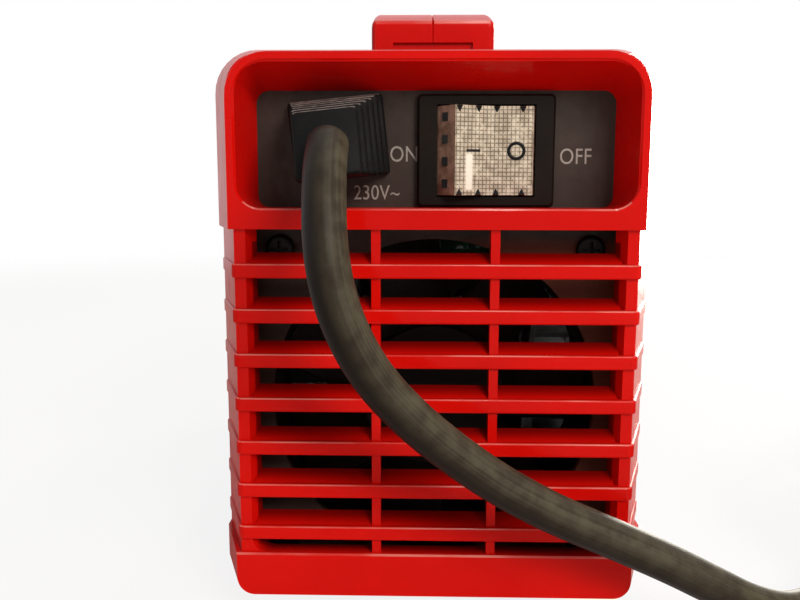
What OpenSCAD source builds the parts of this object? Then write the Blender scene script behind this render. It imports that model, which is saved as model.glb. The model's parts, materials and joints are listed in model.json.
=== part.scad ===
// Stick welding inverter: a small mains-powered welding power source.
// Millimetres. +X is right seen from the cord end, -Y is the rear (mains cord,
// switch and air inlet), +Y is the front (controls and output sockets), +Z is up.
// The origin is on the floor, under the middle of the case.

/* [Case] */
// Distance between the front faces of the two plastic covers
case_len = 216; // [206:1:240]
// Full width of the plastic covers behind their flare
case_w = 102.6; // [102:0.2:104]
// Height of the case top above the floor
case_top = 132; // [131:1:133]
// Width of a cover at its outer face, where the flare starts
face_w = 90; // [89:1:91]
// Length over which a cover flares out to its full width
flare_len = 18; // [14:1:20]
// Length of each plastic cover
cover_len = 46; // [44:1:50]
// Wall of the plastic covers
cover_wall = 2.3; // [2:0.1:2.4]
// Wall of the sheet steel shell and base pan
sheet = 1.2; // [1:0.1:1.2]
// Height of the rubber feet
foot_h = 6; // [5:0.5:7]

/* [Air inlet] */
// Distance from one louvre bar to the next
louvre_pitch = 10; // [9.5:0.1:10.2]
// Height of a louvre bar's outer face
bar_h = 3.2; // [2.8:0.1:4]
// Number of louvre bars
bars = 7; // [5:1:7]
// Depth of a louvre blade
blade_depth = 5; // [4:0.5:6]
// Half width of the slotted field
slot_half = 39.5; // [36:0.5:40]

/* [Recess] */
// Depth of the recess that holds the switch and the mains lead
recess_depth = 13; // [12:0.5:14]
// Height of the recess floor above the floor the machine stands on
recess_floor = 96; // [95:0.5:97]
// Thickness of the panels
panel_t = 2; // [1.5:0.1:2.5]

/* [Handle] */
// Width of the carrying handle
handle_w = 34; // [30:1:38]
// Length of the carrying handle
handle_len = 104; // [96:1:110]
// Height of the handle's highest point above the floor
handle_top = 155; // [155:1:158]
// Thickness of the grip
grip_t = 9; // [9:0.5:10]

/* [Switch] */
// Width of the switch bezel
bezel_w = 31; // [31:0.1:32]
// Height of the switch bezel
bezel_h = 25.2; // [25:0.1:26]
// Travel of the rocker between OFF and ON, in degrees
rocker_travel = 22; // [18:1:22]

/* [Fan] */
// Side of the square fan frame
fan_side = 80; // [78:1:80]
// Number of fan blades
fan_blades = 7; // [5:1:9]

/* [Output] */
// Bore of an output socket
socket_bore = 9.2; // [9:0.1:9.4]
// Distance between the two output sockets
socket_gap = 44; // [40:1:46]

/* [Mains lead] */
// Diameter of the mains lead
cord_d = 8.5; // [8:0.1:9]
// Radius of the inner turns of the coil, at the middle of the lead
coil_r = 43.5; // [43:0.5:46]

/* [Hidden] */
$fn = 48;
hull_fn = 32;
gap = 0.1;

rear_y = -case_len / 2;
flare_y = rear_y + flare_len;
join_y = rear_y + cover_len;
half_w = case_w / 2;
face_half = face_w / 2;
face_top = case_top - 3.2;
face_bottom = foot_h + 1.5;
panel_y = rear_y + recess_depth;
pocket_face = face_half - 1.9;
pocket_back = pocket_face - 2.4;
pocket_top = face_top - 1.9;
pocket_drop = 4.7;

// slotted field of the rear cover
field_top = recess_floor - 4.5;
first_bar = field_top - 7.5;
last_bar = first_bar - louvre_pitch * (bars - 1);
field_bottom = last_bar - bar_h - 3.3;
rib_x = 13;
rib_t = 2;
groove = 1;
groove_end = rear_y + 22;

// sheet steel
shell_half = half_w - cover_wall - 0.2;
shell_top = case_top - cover_wall - gap;
shell_bottom = foot_h + cover_wall + 2.9;
shell_y = 72;
pan_half = shell_half - sheet - 0.3;
pan_y = 89.5;
plate_half = 46;
plate_bottom = foot_h + cover_wall + 2.4;
pan_z = foot_h + cover_wall + gap;
pan_top = pan_z + sheet;
flange_h = 15;

// feet and screws
foot_x = 36;
foot_y = 78;
foot_r = 8;
screw_r = 1.5;
head_r = 3;
side_screw_y = 67;
side_screw_z = [17, 100];

// handle
leg = 15;
arch_rise = 9;
arch_r = (pow(handle_len / 2, 2) + pow(arch_rise, 2)) / (2 * arch_rise);
arch_z = handle_top - arch_r;
handle_z = shell_top + gap;
bolt_x = 9;
bolt_y = handle_len / 2 - leg / 2;
seam_screws = [[-44, 139], [0, handle_top - grip_t / 2], [44, 139]];

// switch: the rocker turns about a vertical axis behind the panel
switch_x = 11.4;
switch_z = recess_floor + bezel_h / 2 + gap;
bezel_t = 2;
switch_body = [27.8, 21.9];
pivot_y = panel_y + 5;
rocker_r = 12.77;
play = 0.35;
rocker_half_h = 9.9;
rocker_slope = rocker_travel / 2;
rocker_corner = [9, 9.06];
rocker_valley = rocker_corner[1] - rocker_corner[0] * tan(rocker_slope);
rocker_base = [11.9, 4.6];
rocker_floor = -2;
pin_r = 1.5;
cavity_back = panel_y + 15;
switch_back = cavity_back + 4;

// fan
fan_z = 50.5;
fan_y = panel_y + panel_t;
fan_t = 25;
fan_hub_y = fan_y + fan_t - 6;
motor_y = fan_y + fan_t - 3.5;
hub_r = 17;
duct_r = fan_side / 2 - 1.8;
blade_r = duct_r - 0.7;
fan_hole = fan_side / 2 - 4.2;
shaft_r = 1.5;

// boards and power parts
board_z = 18;
board_y0 = -52;
board_y1 = 84;
board_half = 42;
board_hole_x = 38;
board_hole_y = [-48, 70];
board_t = 1.6;
board_top = board_z + board_t;
sink_h = 46;
sink_w = 15;
sink_y0 = -46;
sink_y1 = 36;
transistor_y = [-34, -16, 2, 20];

// front panel items
front_y = case_len / 2;
front_panel_y = front_y - recess_depth;
front_floor = 20;
board_front = front_panel_y - 12;
socket_z = 44;
socket_x = socket_gap / 2;
knob_x = 18;
knob_z = 100;
knob_r = 11;
display_x = -18;
led_x = display_x;
led_z = 86;
display_z = [97, 111];
vent_z = [66, 70.5, 75];

// mains lead: from the strain relief down and across the rear, then along the floor
relief_x = -21.8;
relief_z = recess_floor + 15.4;
exit_y = rear_y - 11.5;
relief_plates = 6;
relief_step = (panel_y - exit_y) / relief_plates;
cord_r = cord_d / 2;
coil_x = 160;
coil_y = -81.5;
outer_r = coil_r + cord_d;
ROUTE = [[-21.8, -118, 110], [-21.8, -119.5, 109.1], [-21.7, -125.7, 104.3], [-21.4, -130.5, 97.9],
    [-20.9, -133.5, 90.3], [-19.6, -134.5, 82.1], [-17, -134.3, 74.1], [-12.8, -133, 66], [-7, -130.8, 58.4],
    [1, -128, 50.4], [12, -125, 41.6], [24, -122, 34], [37, -119.5, 27.5], [50, -117.5, 21], [61, -115, 14.7],
    [70, -112.6, 9.6], [78.5, -109.6, 6.2], [86.4, -105.3, 4.7], [93.6, -99.5, 4.3], [99.6, -92.7, 4.25],
    [104, -85, 4.25], [107.1, -76.6, 4.25], [109.8, -68, 4.25]];
// where the third layer starts and ends round the coil, in degrees from +X
top_turn = [118, 345];
plug_at = [140.8, -30.9, 26];
plug_heading = 40;
plug_lean = 16;
plug_len = 61;

function unit(v) = v / norm(v);
function along(path, i) = unit(path[min(i + 1, len(path) - 1)] - path[max(i - 1, 0)]);
function ring_point(path, i, r, a) =
    let (t = along(path, i), side = unit(cross(t, [0, 0.3, 1])), up = cross(side, t))
    path[i] + r * (cos(a) * side + sin(a) * up);

// ---- shared shapes -------------------------------------------------------

// Extrude a front-view outline (x, z) from y0 to y1
module along_y(y0, y1) translate([0, y1, 0]) rotate([90, 0, 0]) linear_extrude(y1 - y0) children();

// Extrude a side-view outline (y, z) from x0 to x1
module along_x(x0, x1) translate([x0, 0, 0]) rotate([90, 0, 90]) linear_extrude(x1 - x0) children();

// Tube of radius r along a path, as one closed solid
module sweep(path, r, sides) {
    n = len(path);
    points = [for (i = [0:n - 1], k = [0:sides - 1]) ring_point(path, i, r, 360 * k / sides)];
    walls = [for (i = [0:n - 2], k = [0:sides - 1])
        [i * sides + k, i * sides + (k + 1) % sides, (i + 1) * sides + (k + 1) % sides, (i + 1) * sides + k]];
    first = [for (k = [0:sides - 1]) sides - 1 - k];
    last = [for (k = [0:sides - 1]) (n - 1) * sides + k];
    polyhedron(points, concat(walls, [first, last]), convexity = 6);
}

// Rectangle with round corners; r0 at the bottom, r1 at the top
module round_rect(x0, x1, z0, z1, r0, r1) {
    difference() {
        translate([x0, z0]) square([x1 - x0, z1 - z0]);
        for (x = [x0, x1], z = [z0, z1]) {
            r = z == z0 ? r0 : r1;
            translate([x, z]) square(2 * r, center = true);
        }
    }
    for (x = [x0, x1], z = [z0, z1]) {
        r = z == z0 ? r0 : r1;
        translate([x == x0 ? x + r : x - r, z == z0 ? z + r : z - r]) circle(r);
    }
}

module rod_x(x0, x1, y, z, r) translate([x0, y, z]) rotate([0, 90, 0]) cylinder(r = r, h = x1 - x0);
module rod_y(x, y0, y1, z, r) translate([x, y1, z]) rotate([90, 0, 0]) cylinder(r = r, h = y1 - y0);
module rod_z(x, y, z0, z1, r) translate([x, y, z0]) cylinder(r = r, h = z1 - z0);
module block(x0, x1, y0, y1, z0, z1) translate([x0, y0, z0]) cube([x1 - x0, y1 - y0, z1 - z0]);

// Box with round upper corners that flares from its face back to full width
module flared(inset, y_face, y_full, y_end) {
    hull() {
        along_y(y_face, y_face + 0.5)
            round_rect(inset - face_half, face_half - inset, face_bottom + inset, face_top - inset,
                4 - inset / 2, 9 - inset, $fn = hull_fn);
        along_y(y_full, y_end)
            round_rect(inset - half_w, half_w - inset, foot_h + inset, case_top - inset,
                4 - inset / 2, 10 - inset, $fn = hull_fn);
    }
}

// Drafted pocket that narrows from the cover's face back to the panel
module pocket(grow, y_face, z_floor) {
    hull() {
        along_y(y_face, y_face + 0.01)
            round_rect(-pocket_face - grow, pocket_face + grow, z_floor - grow, pocket_top + grow,
                5.5, 7, $fn = hull_fn);
        along_y(panel_y - 0.01, panel_y)
            round_rect(-pocket_back - grow, pocket_back + grow, z_floor - grow,
                pocket_top - pocket_drop + grow, 2.5, 2.5, $fn = hull_fn);
    }
}

// Holes for the side screws and the foot screws of one cover, with screw side -Y
module cover_holes() {
    for (z = side_screw_z) {
        rod_x(-half_w - 1, half_w + 1, -side_screw_y, z, screw_r + gap);
        for (s = [-1, 1])
            rod_x(s < 0 ? -half_w - 1 : half_w - 1, s < 0 ? 1 - half_w : half_w + 1,
                -side_screw_y, z, head_r + gap);
    }
    for (x = [-foot_x, foot_x]) rod_z(x, -foot_y, foot_h - 1, pan_z + 0.5, screw_r + gap);
}

// ---- case ----------------------------------------------------------------

// One louvre blade: a front edge with a surface that slopes up and inwards
module blade(top) {
    along_x(-slot_half - 0.5, slot_half + 0.5)
        polygon([[rear_y, top - bar_h], [rear_y, top], [rear_y + blade_depth, top + 2.2],
            [rear_y + blade_depth, top + 0.4], [rear_y + 2, top - bar_h]]);
}

module rear_cover() color("red") {
    difference() {
        flared(0, rear_y, flare_y, join_y);
        flared(cover_wall, rear_y + 3, flare_y, join_y + 1);
        // grooves between the bars run round the corners
        intersection() {
            for (i = [0:bars])
                block(-60, 60, rear_y - 1, groove_end, i == bars ? field_bottom : first_bar - louvre_pitch * i,
                    i == 0 ? field_top : first_bar - louvre_pitch * (i - 1) - bar_h);
            difference() {
                block(-60, 60, rear_y - 1, groove_end, 0, case_top);
                flared(groove, rear_y + groove, flare_y, join_y);
            }
        }
        block(-slot_half, slot_half, rear_y - 1, rear_y + 4, field_bottom, field_top);
        pocket(0, rear_y - 0.01, recess_floor);
        cover_holes();
    }
    difference() {
        pocket(cover_wall - 0.2, rear_y + 1, recess_floor);
        pocket(0, rear_y - 0.01, recess_floor);
    }
    for (i = [0:bars - 1]) blade(first_bar - louvre_pitch * i);
    for (x = [-rib_x, rib_x])
        block(x - rib_t / 2, x + rib_t / 2, rear_y + groove, rear_y + blade_depth,
            field_bottom - 0.5, field_top + 0.5);
}

// Dark plate across the rear: it closes the recess, carries the switch and the lead, and holds the fan
module rear_panel() color("dimgray") {
    difference() {
        block(-plate_half, plate_half, panel_y, panel_y + panel_t, plate_bottom, pocket_top - pocket_drop + 2);
        rod_y(0, panel_y - 1, panel_y + panel_t + 1, fan_z, duct_r);
        for (x = [-1, 1], z = [-1, 1])
            rod_y(x * fan_hole, panel_y - 1, panel_y + panel_t + 1, fan_z + z * fan_hole, 2.1);
        block(switch_x - switch_body[0] / 2 - gap, switch_x + switch_body[0] / 2 + gap, panel_y - 1,
            panel_y + panel_t + 1, switch_z - switch_body[1] / 2 - gap, switch_z + switch_body[1] / 2 + gap);
        rod_y(relief_x, panel_y - 1, panel_y + panel_t + 1, relief_z, 6.5);
    }
}

// The front cover: the same flared moulding with one tall opening
module front_cover() color("red") {
    mirror([0, 1, 0]) {
        difference() {
            flared(0, rear_y, flare_y, join_y);
            flared(cover_wall, rear_y + 3, flare_y, join_y + 1);
            pocket(0, rear_y - 0.01, front_floor);
            cover_holes();
        }
        difference() {
            pocket(cover_wall - 0.2, rear_y + 1, front_floor);
            pocket(0, rear_y - 0.01, front_floor);
        }
    }
}

module front_panel() color("dimgray") {
    difference() {
        block(-pocket_back - 2, pocket_back + 2, front_panel_y - panel_t, front_panel_y, front_floor - 2,
            pocket_top - pocket_drop + 2);
        for (s = [-1, 1]) rod_y(s * socket_x, front_panel_y - 5, front_panel_y + 1, socket_z, 11.1);
        rod_y(knob_x, front_panel_y - 5, front_panel_y + 1, knob_z, 3.8);
        block(display_x - 14.1, display_x + 14.1, front_panel_y - 5, front_panel_y + 1,
            display_z[0] - gap, display_z[1] + gap);
        for (x = [-7, 7]) rod_y(led_x + x, front_panel_y - 5, front_panel_y + 1, led_z, 2.6);
        // warm air leaves through these slots
        for (z = vent_z) for (x = [-26, 0, 26])
            block(x - 10, x + 10, front_panel_y - 5, front_panel_y + 1, z - 1, z + 1);
    }
}

// Folded tray that carries the boards, with an upstand along each side
module base_pan() color("silver") {
    difference() {
        union() {
            block(-pan_half, pan_half, -pan_y, pan_y, pan_z, pan_top);
            for (s = [-1, 1])
                block(s < 0 ? -pan_half : pan_half - sheet, s < 0 ? sheet - pan_half : pan_half,
                    -pan_y + 4, pan_y - 4, pan_z, pan_z + flange_h);
        }
        for (x = [-foot_x, foot_x], y = [-foot_y, foot_y]) rod_z(x, y, pan_z - 1, pan_top + 1, screw_r + gap);
        for (y = [-side_screw_y, side_screw_y]) rod_x(-half_w, half_w, y, side_screw_z[0], screw_r + gap);
    }
}

// Painted steel cover with vents in both sides, bent over the top
module top_shell() color([0.16, 0.16, 0.17]) {
    difference() {
        along_y(-shell_y, shell_y) difference() {
            round_rect(-shell_half, shell_half, shell_bottom, shell_top, 0.5, 8);
            round_rect(sheet - shell_half, shell_half - sheet, shell_bottom - 5, shell_top - sheet, 0.5, 8 - sheet);
        }
        // side vents
        for (y = [-40:10:40], z = [36, 78])
            block(-half_w, half_w, y - 1.75, y + 1.75, z, z + 26);
        for (y = [-side_screw_y, side_screw_y], z = side_screw_z)
            rod_x(-half_w - 1, half_w + 1, y, z, screw_r + gap);
        for (x = [-bolt_x, bolt_x], y = [-bolt_y, bolt_y])
            rod_z(x, y, shell_top - 3, shell_top + 1, 2.1);
    }
}

module foot(x, y) color([0.08, 0.08, 0.08]) {
    translate([x, y, 0]) difference() {
        rotate_extrude() polygon([[0, 0], [foot_r - 1, 0], [foot_r, 1], [foot_r - 0.6, foot_h], [0, foot_h]]);
        translate([0, 0, -1]) cylinder(r = head_r + 1, h = 3.5);
        cylinder(r = screw_r + gap, h = foot_h + 1);
    }
}
module foot_rear_left() foot(-foot_x, -foot_y);
module foot_rear_right() foot(foot_x, -foot_y);
module foot_front_left() foot(-foot_x, foot_y);
module foot_front_right() foot(foot_x, foot_y);

// ---- handle --------------------------------------------------------------

// Side view of the arch; inset shrinks it all round
module arch_outline(inset) {
    difference() {
        intersection() {
            translate([inset - handle_len / 2, handle_z + inset])
                square([handle_len - 2 * inset, handle_top - handle_z]);
            translate([0, arch_z]) circle(arch_r - inset, $fn = 200);
        }
        intersection() {
            translate([leg - inset - handle_len / 2, handle_z - 1])
                square([handle_len - 2 * leg + 2 * inset, handle_top - handle_z]);
            translate([0, arch_z]) circle(arch_r - grip_t + inset, $fn = 200);
        }
    }
}

// One hollow half of the handle; side is -1 for left, 1 for right
module handle_half(side) color("red") {
    mirror([side < 0 ? 1 : 0, 0, 0]) difference() {
        union() {
            difference() {
                along_x(0, handle_w / 2) arch_outline(0);
                along_x(-1, handle_w / 2 - 2.5) arch_outline(2.2);
            }
            for (p = seam_screws) rod_x(0, handle_w / 2 - 1, p[0], p[1], 3.2);
            for (y = [-bolt_y, bolt_y]) rod_z(bolt_x, y, handle_z, handle_z + 8, 4);
        }
        for (p = seam_screws) {
            rod_x(-1, handle_w / 2 + 1, p[0], p[1], 1.35);
            rod_x(handle_w / 2 - 2.2, handle_w / 2 + 1, p[0], p[1], 2.6);
        }
        for (y = [-bolt_y, bolt_y]) rod_z(bolt_x, y, handle_z - 1, handle_z + 7, 2.1);
        // moulded pocket at the foot of each leg
        for (s = [-1, 1])
            block(-1, 11, s < 0 ? -handle_len / 2 - 1 : handle_len / 2 - 1.2,
                s < 0 ? 1.2 - handle_len / 2 : handle_len / 2 + 1, handle_z + 1.2, handle_z + 10.4);
    }
}
module handle_left() handle_half(-1);
module handle_right() handle_half(1);

module handle_screws() color("dimgray")
    for (p = seam_screws) {
        rod_x(-handle_w / 2 + 4, handle_w / 2 - 2.2, p[0], p[1], 1.25);
        rod_x(handle_w / 2 - 2.2, handle_w / 2 - 0.7, p[0], p[1], 2.4);
    }

module handle_bolts() color("silver")
    for (x = [-bolt_x, bolt_x], y = [-bolt_y, bolt_y]) {
        rod_z(x, y, shell_top - sheet - 3, shell_top - sheet, 3.5);
        rod_z(x, y, shell_top - sheet, handle_z + 6.5, 2);
    }

// Side screws of one cover
module side_screws(y)
    for (s = [0, 1], z = side_screw_z) mirror([s, 0, 0]) {
        rod_x(half_w - 7.5, half_w - 1, y, z, screw_r);
        rod_x(half_w - 1, half_w + 0.5, y, z, head_r);
    }
module rear_cover_screws() color("silver") side_screws(-side_screw_y);
module front_cover_screws() color("silver") side_screws(side_screw_y);

module foot_screws() color("silver")
    for (x = [-foot_x, foot_x], y = [-foot_y, foot_y]) {
        rod_z(x, y, 0.8, 2.5, head_r);
        rod_z(x, y, 2.5, pan_top + 3, screw_r);
    }

// ---- mains inlet ---------------------------------------------------------

// Ribbed rubber sleeve: square plates on a core, smaller and more tilted outwards
module strain_relief() color([0.07, 0.07, 0.07]) {
    for (i = [0:relief_plates - 1]) {
        f = i / (relief_plates - 1);
        translate([relief_x - 0.5 * f, panel_y - relief_step * i - 1.3, relief_z - 2.2 * f])
            rotate([-16 * f, -6, 0])
                cube([21.5 - 8 * f, 2.5, 18 - 3.8 * f], center = true);
    }
    translate([relief_x, 0, relief_z]) {
        rod_y(0, panel_y - 18, panel_y + panel_t + 3, 0, 4.4);
        rod_y(0, panel_y - 2, panel_y + panel_t, 0, 6.4);
        rod_y(0, panel_y + panel_t, panel_y + panel_t + 3, 0, 9);
    }
}

module switch_frame() color([0.08, 0.08, 0.08]) {
    translate([switch_x, 0, switch_z]) difference() {
        union() {
            block(-bezel_w / 2, bezel_w / 2, panel_y - bezel_t, panel_y, -bezel_h / 2, bezel_h / 2);
            block(-switch_body[0] / 2, switch_body[0] / 2, panel_y - 1, switch_back, -switch_body[1] / 2,
                switch_body[1] / 2);
        }
        // round in front, where the rocker swings, and square behind it
        translate([0, pivot_y, -rocker_half_h - play]) cylinder(r = rocker_r + play, h = 2 * (rocker_half_h + play));
        block(-rocker_r - play, rocker_r + play, pivot_y, cavity_back, -rocker_half_h - play, rocker_half_h + play);
        translate([0, pivot_y, -12]) cylinder(r = pin_r + 0.05, h = 24);
    }
}

// Rocker outline in its middle position: x across, y out of the panel
module rocker_outline() {
    intersection() {
        circle(rocker_r, $fn = 96);
        polygon([[-rocker_r, rocker_floor], [rocker_r, rocker_floor], rocker_base + [0.6, -1], rocker_corner,
            [0, rocker_valley], [-rocker_corner[0], rocker_corner[1]], [-rocker_base[0] - 0.6, rocker_base[1] - 1]]);
    }
}
module rocker() color("ivory") {
    translate([switch_x, pivot_y, switch_z]) rotate([0, 0, rocker_travel / 2]) mirror([0, 1, 0]) {
        translate([0, 0, -rocker_half_h]) linear_extrude(2 * rocker_half_h) rocker_outline();
        translate([0, 0, -rocker_half_h - 1.2]) cylinder(r = pin_r, h = 2 * rocker_half_h + 2.4);
    }
}

module neon_lamp() color("orange")
    rod_x(switch_x - 4, switch_x + 4, cavity_back - 2.5, switch_z, 2);

module switch_terminals() color("gold")
    for (x = [-8, 8], z = [-5, 5])
        block(switch_x + x - 0.4, switch_x + x + 0.4, switch_back, switch_back + 7.5, switch_z + z - 3.15,
            switch_z + z + 3.15);

// ---- fan -----------------------------------------------------------------

module fan_frame() color([0.1, 0.1, 0.1]) {
    difference() {
        union() {
            for (y = [fan_y, fan_y + fan_t - 4]) translate([0, 0, fan_z])
                block(-fan_side / 2, fan_side / 2, y, y + 4, -fan_side / 2, fan_side / 2);
            rod_y(0, fan_y + 1, fan_y + fan_t - 1, fan_z, duct_r + 1.4);
        }
        rod_y(0, fan_y - 1, fan_y + fan_t + 1, fan_z, duct_r);
        for (x = [-1, 1], z = [-1, 1])
            rod_y(x * fan_hole, fan_y - 1, fan_y + fan_t + 1, fan_z + z * fan_hole, 2.1);
    }
    // struts that carry the motor
    difference() {
        union() {
            rod_y(0, motor_y, motor_y + 3, fan_z, hub_r + 1);
            for (a = [0, 90]) translate([0, motor_y + 0.5, fan_z]) rotate([0, a, 0])
                block(-duct_r - 0.6, duct_r + 0.6, 0, 2, -2, 2);
        }
        rod_y(0, motor_y - 1, motor_y + 4, fan_z, 4.02);
    }
}

// Hub cup with pitched blades on a steel shaft
module fan_rotor() color([0.13, 0.13, 0.13]) {
    difference() {
        rod_y(0, fan_y + 2, fan_hub_y, fan_z, hub_r);
        rod_y(0, fan_y + 4.5, fan_hub_y + 1, fan_z, hub_r - 2);
    }
    rod_y(0, fan_y + 4, fan_y + fan_t - 1, fan_z, shaft_r);
    intersection() {
        for (i = [0:fan_blades - 1]) translate([0, fan_y + 10.5, fan_z]) rotate([0, i * 360 / fan_blades, 0])
            rotate([35, 0, 0]) block(hub_r - 1, blade_r + 4, -0.8, 0.8, -11, 11);
        difference() {
            rod_y(0, fan_y + 2.5, fan_hub_y - 0.5, fan_z, blade_r);
            rod_y(0, fan_y, fan_hub_y + 1, fan_z, hub_r - 0.5);
        }
    }
}

module fan_stator() color("peru")
    difference() {
        rod_y(0, fan_y + 7, motor_y, fan_z, 12);
        rod_y(0, fan_y + 6, fan_y + fan_t, fan_z, 4.02);
    }

module fan_bearing() color("goldenrod")
    difference() {
        rod_y(0, fan_y + 7, fan_y + fan_t - 0.5, fan_z, 4);
        rod_y(0, fan_y + 6, fan_y + fan_t, fan_z, shaft_r + 0.04);
    }

module fan_screws() color("silver")
    for (x = [-1, 1], z = [-1, 1]) {
        rod_y(x * fan_hole, panel_y - 1, fan_y + fan_t + 3, fan_z + z * fan_hole, 1.9);
        // head on the plate, nut on the fan
        for (y = [panel_y - 2.2, fan_y + fan_t])
            rod_y(x * fan_hole, y, y + 2.2, fan_z + z * fan_hole, 3.5);
    }

// ---- power electronics ---------------------------------------------------

module main_board() color("darkgreen")
    difference() {
        block(-board_half, board_half, board_y0, board_y1, board_z, board_top);
        for (x = [-board_hole_x, board_hole_x], y = board_hole_y) rod_z(x, y, board_z - 1, board_top + 1, 1.6);
    }

module standoffs() color("goldenrod")
    for (x = [-board_hole_x, board_hole_x], y = board_hole_y) {
        rod_z(x, y, pan_top, board_z, 3);
        rod_z(x, y, board_z, board_top + 2, 1.5);
    }

module capacitors() color("midnightblue")
    for (y = [-36, -12, 12]) rod_z(-8, y, board_top, board_top + 40, 11);

// Comb of fins on a plate; side is -1 for left, 1 for right
module heatsink(side) color("silver")
    mirror([side < 0 ? 1 : 0, 0, 0]) {
        block(board_half - sink_w, board_half - sink_w + 4, sink_y0, sink_y1, board_top + 0.5, board_top + sink_h);
        for (z = [0:5:40]) block(board_half - sink_w + 4, board_half, sink_y0, sink_y1, board_top + 2 + z,
            board_top + 3.5 + z);
    }
module heatsink_left() heatsink(-1);
module heatsink_right() heatsink(1);

module power_transistors() color([0.1, 0.1, 0.1])
    for (s = [0, 1], y = transistor_y) mirror([s, 0, 0]) {
        block(board_half - sink_w - 5, board_half - sink_w, y - 7.8, y + 7.8, board_top + 14, board_top + 35);
        for (dy = [-5.45, 0, 5.45])
            block(board_half - sink_w - 3, board_half - sink_w - 2.3, y + dy - 0.6, y + dy + 0.6, board_top,
                board_top + 14);
    }

module rectifier_bridge() color([0.12, 0.12, 0.12]) {
    block(6, 20, -48, -20, board_top + 8, board_top + 13);
    for (y = [-46, -38, -30, -22]) rod_z(13, y, board_top, board_top + 8, 0.9);
}

module transformer_core() color([0.2, 0.2, 0.22]) {
    difference() {
        block(-14, 22, 40, 66, board_top + 0.5, board_top + 34);
        for (s = [-1, 1]) block(4 + s * 8.5 - 3.5, 4 + s * 8.5 + 3.5, 39, 67, board_top + 6.5, board_top + 28);
    }
}

module transformer_windings() color("peru")
    difference() {
        block(-7.2, 15.2, 34, 72, board_top + 6.8, board_top + 27.7);
        block(-1.2, 9.2, 39.8, 66.2, board_top + 5, board_top + 29);
        for (s = [-1, 1]) block(4 + s * 16 - 4.8, 4 + s * 16 + 4.8, 39.8, 66.2, board_top + 5, board_top + 29);
    }

module choke_core() color([0.25, 0.25, 0.2])
    translate([13, -2, board_top + 13]) rotate([0, 90, 0]) difference() {
        cylinder(r = 9, h = 9, center = true);
        cylinder(r = 4.6, h = 10, center = true);
    }

// Turns of thick wire on the ring, each a square loop
module choke_winding() color("chocolate")
    translate([13, -2, board_top + 13]) rotate([0, 90, 0])
        for (a = [0:36:324]) rotate([0, 0, a]) translate([6.8, 0, 0]) difference() {
            cube([8, 2.2, 12.4], center = true);
            cube([4.6, 3, 9.2], center = true);
        }

module relay() color("navy") block(4, 20, 12, 32, board_top, board_top + 17);

module busbar(x) color("peru") {
    difference() {
        union() {
            block(x - 7, x + 7, front_panel_y - 14.5, front_panel_y - 12.5, board_top + 2, socket_z + 8);
            block(x - 7, x + 7, 74, front_panel_y - 12.5, board_top + 0.1, board_top + 2.1);
        }
        rod_y(x, front_panel_y - 16, front_panel_y - 11, socket_z, 4.2);
    }
}
module busbar_positive() busbar(socket_x);
module busbar_negative() busbar(-socket_x);

// ---- front panel parts ---------------------------------------------------

// Insulating shell of an output socket, with its flange on the panel
module socket_body(x) color([0.09, 0.09, 0.09])
    difference() {
        union() {
            rod_y(x, front_panel_y, front_panel_y + 3, socket_z, 15);
            rod_y(x, front_panel_y, front_panel_y + 11, socket_z, 12);
            rod_y(x, front_panel_y - 12, front_panel_y, socket_z, 11);
        }
        rod_y(x, front_panel_y - 13, front_panel_y + 12, socket_z, 7.55);
    }
module socket_positive_body() socket_body(socket_x);
module socket_negative_body() socket_body(-socket_x);

// Brass insert: bore with a keyway that lets the plug's pin in and locks it by a turn
module socket_insert(x) color("gold")
    difference() {
        rod_y(x, front_panel_y - 12, front_panel_y + 9, socket_z, 7.5);
        rod_y(x, front_panel_y - 9, front_panel_y + 10, socket_z, socket_bore / 2);
        block(x - 1.6, x + 1.6, front_panel_y - 4, front_panel_y + 10, socket_z, socket_z + 6.6);
        rod_y(x, front_panel_y - 13, front_panel_y - 8, socket_z, 3.1);
    }
module socket_positive_insert() socket_insert(socket_x);
module socket_negative_insert() socket_insert(-socket_x);

module socket_bolts() color("silver")
    for (s = [-1, 1]) {
        rod_y(s * socket_x, front_panel_y - 14.5, front_panel_y - 9, socket_z, 3);
        rod_y(s * socket_x, front_panel_y - 19, front_panel_y - 14.5, socket_z, 6);
    }

module control_board() color("darkgreen")
    difference() {
        block(-38, 38, board_front - board_t, board_front, 63, 120);
        rod_y(knob_x, board_front - 5, board_front + 1, knob_z, 3.8);
    }

module potentiometer() color("silver")
    difference() {
        union() {
            rod_y(knob_x, board_front, board_front + 7, knob_z, 8);
            rod_y(knob_x, board_front, front_panel_y + 1.5, knob_z, 3.7);
        }
        rod_y(knob_x, board_front + 2, front_panel_y + 2, knob_z, 3.05);
    }

module pot_shaft() color("silver")
    rod_y(knob_x, board_front + 2.2, front_panel_y + 10, knob_z, 3);

// Ribbed knob with a pointer line
module current_knob() color([0.1, 0.1, 0.1])
    difference() {
        union() {
            rod_y(knob_x, front_panel_y + 2, front_panel_y + 12.5, knob_z, knob_r - 1);
            for (a = [0:20:340]) translate([knob_x, 0, knob_z]) rotate([0, a, 0])
                translate([knob_r - 1.2, 0, 0]) rod_y(0, front_panel_y + 2, front_panel_y + 11, 0, 1.2);
        }
        rod_y(knob_x, front_panel_y + 1, front_panel_y + 10, knob_z, 3);
        translate([knob_x, 0, knob_z]) rotate([0, -45, 0])
            block(-0.5, 0.5, front_panel_y + 12, front_panel_y + 13, -knob_r + 1, -3);
    }

module display_module() color([0.15, 0.15, 0.15])
    block(display_x - 14, display_x + 14, board_front, front_panel_y - 1.5, display_z[0], display_z[1]);

module display_window() color([0.3, 0.05, 0.05, 0.6])
    block(display_x - 14, display_x + 14, front_panel_y - 1.4, front_panel_y + 0.6, display_z[0], display_z[1]);

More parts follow.
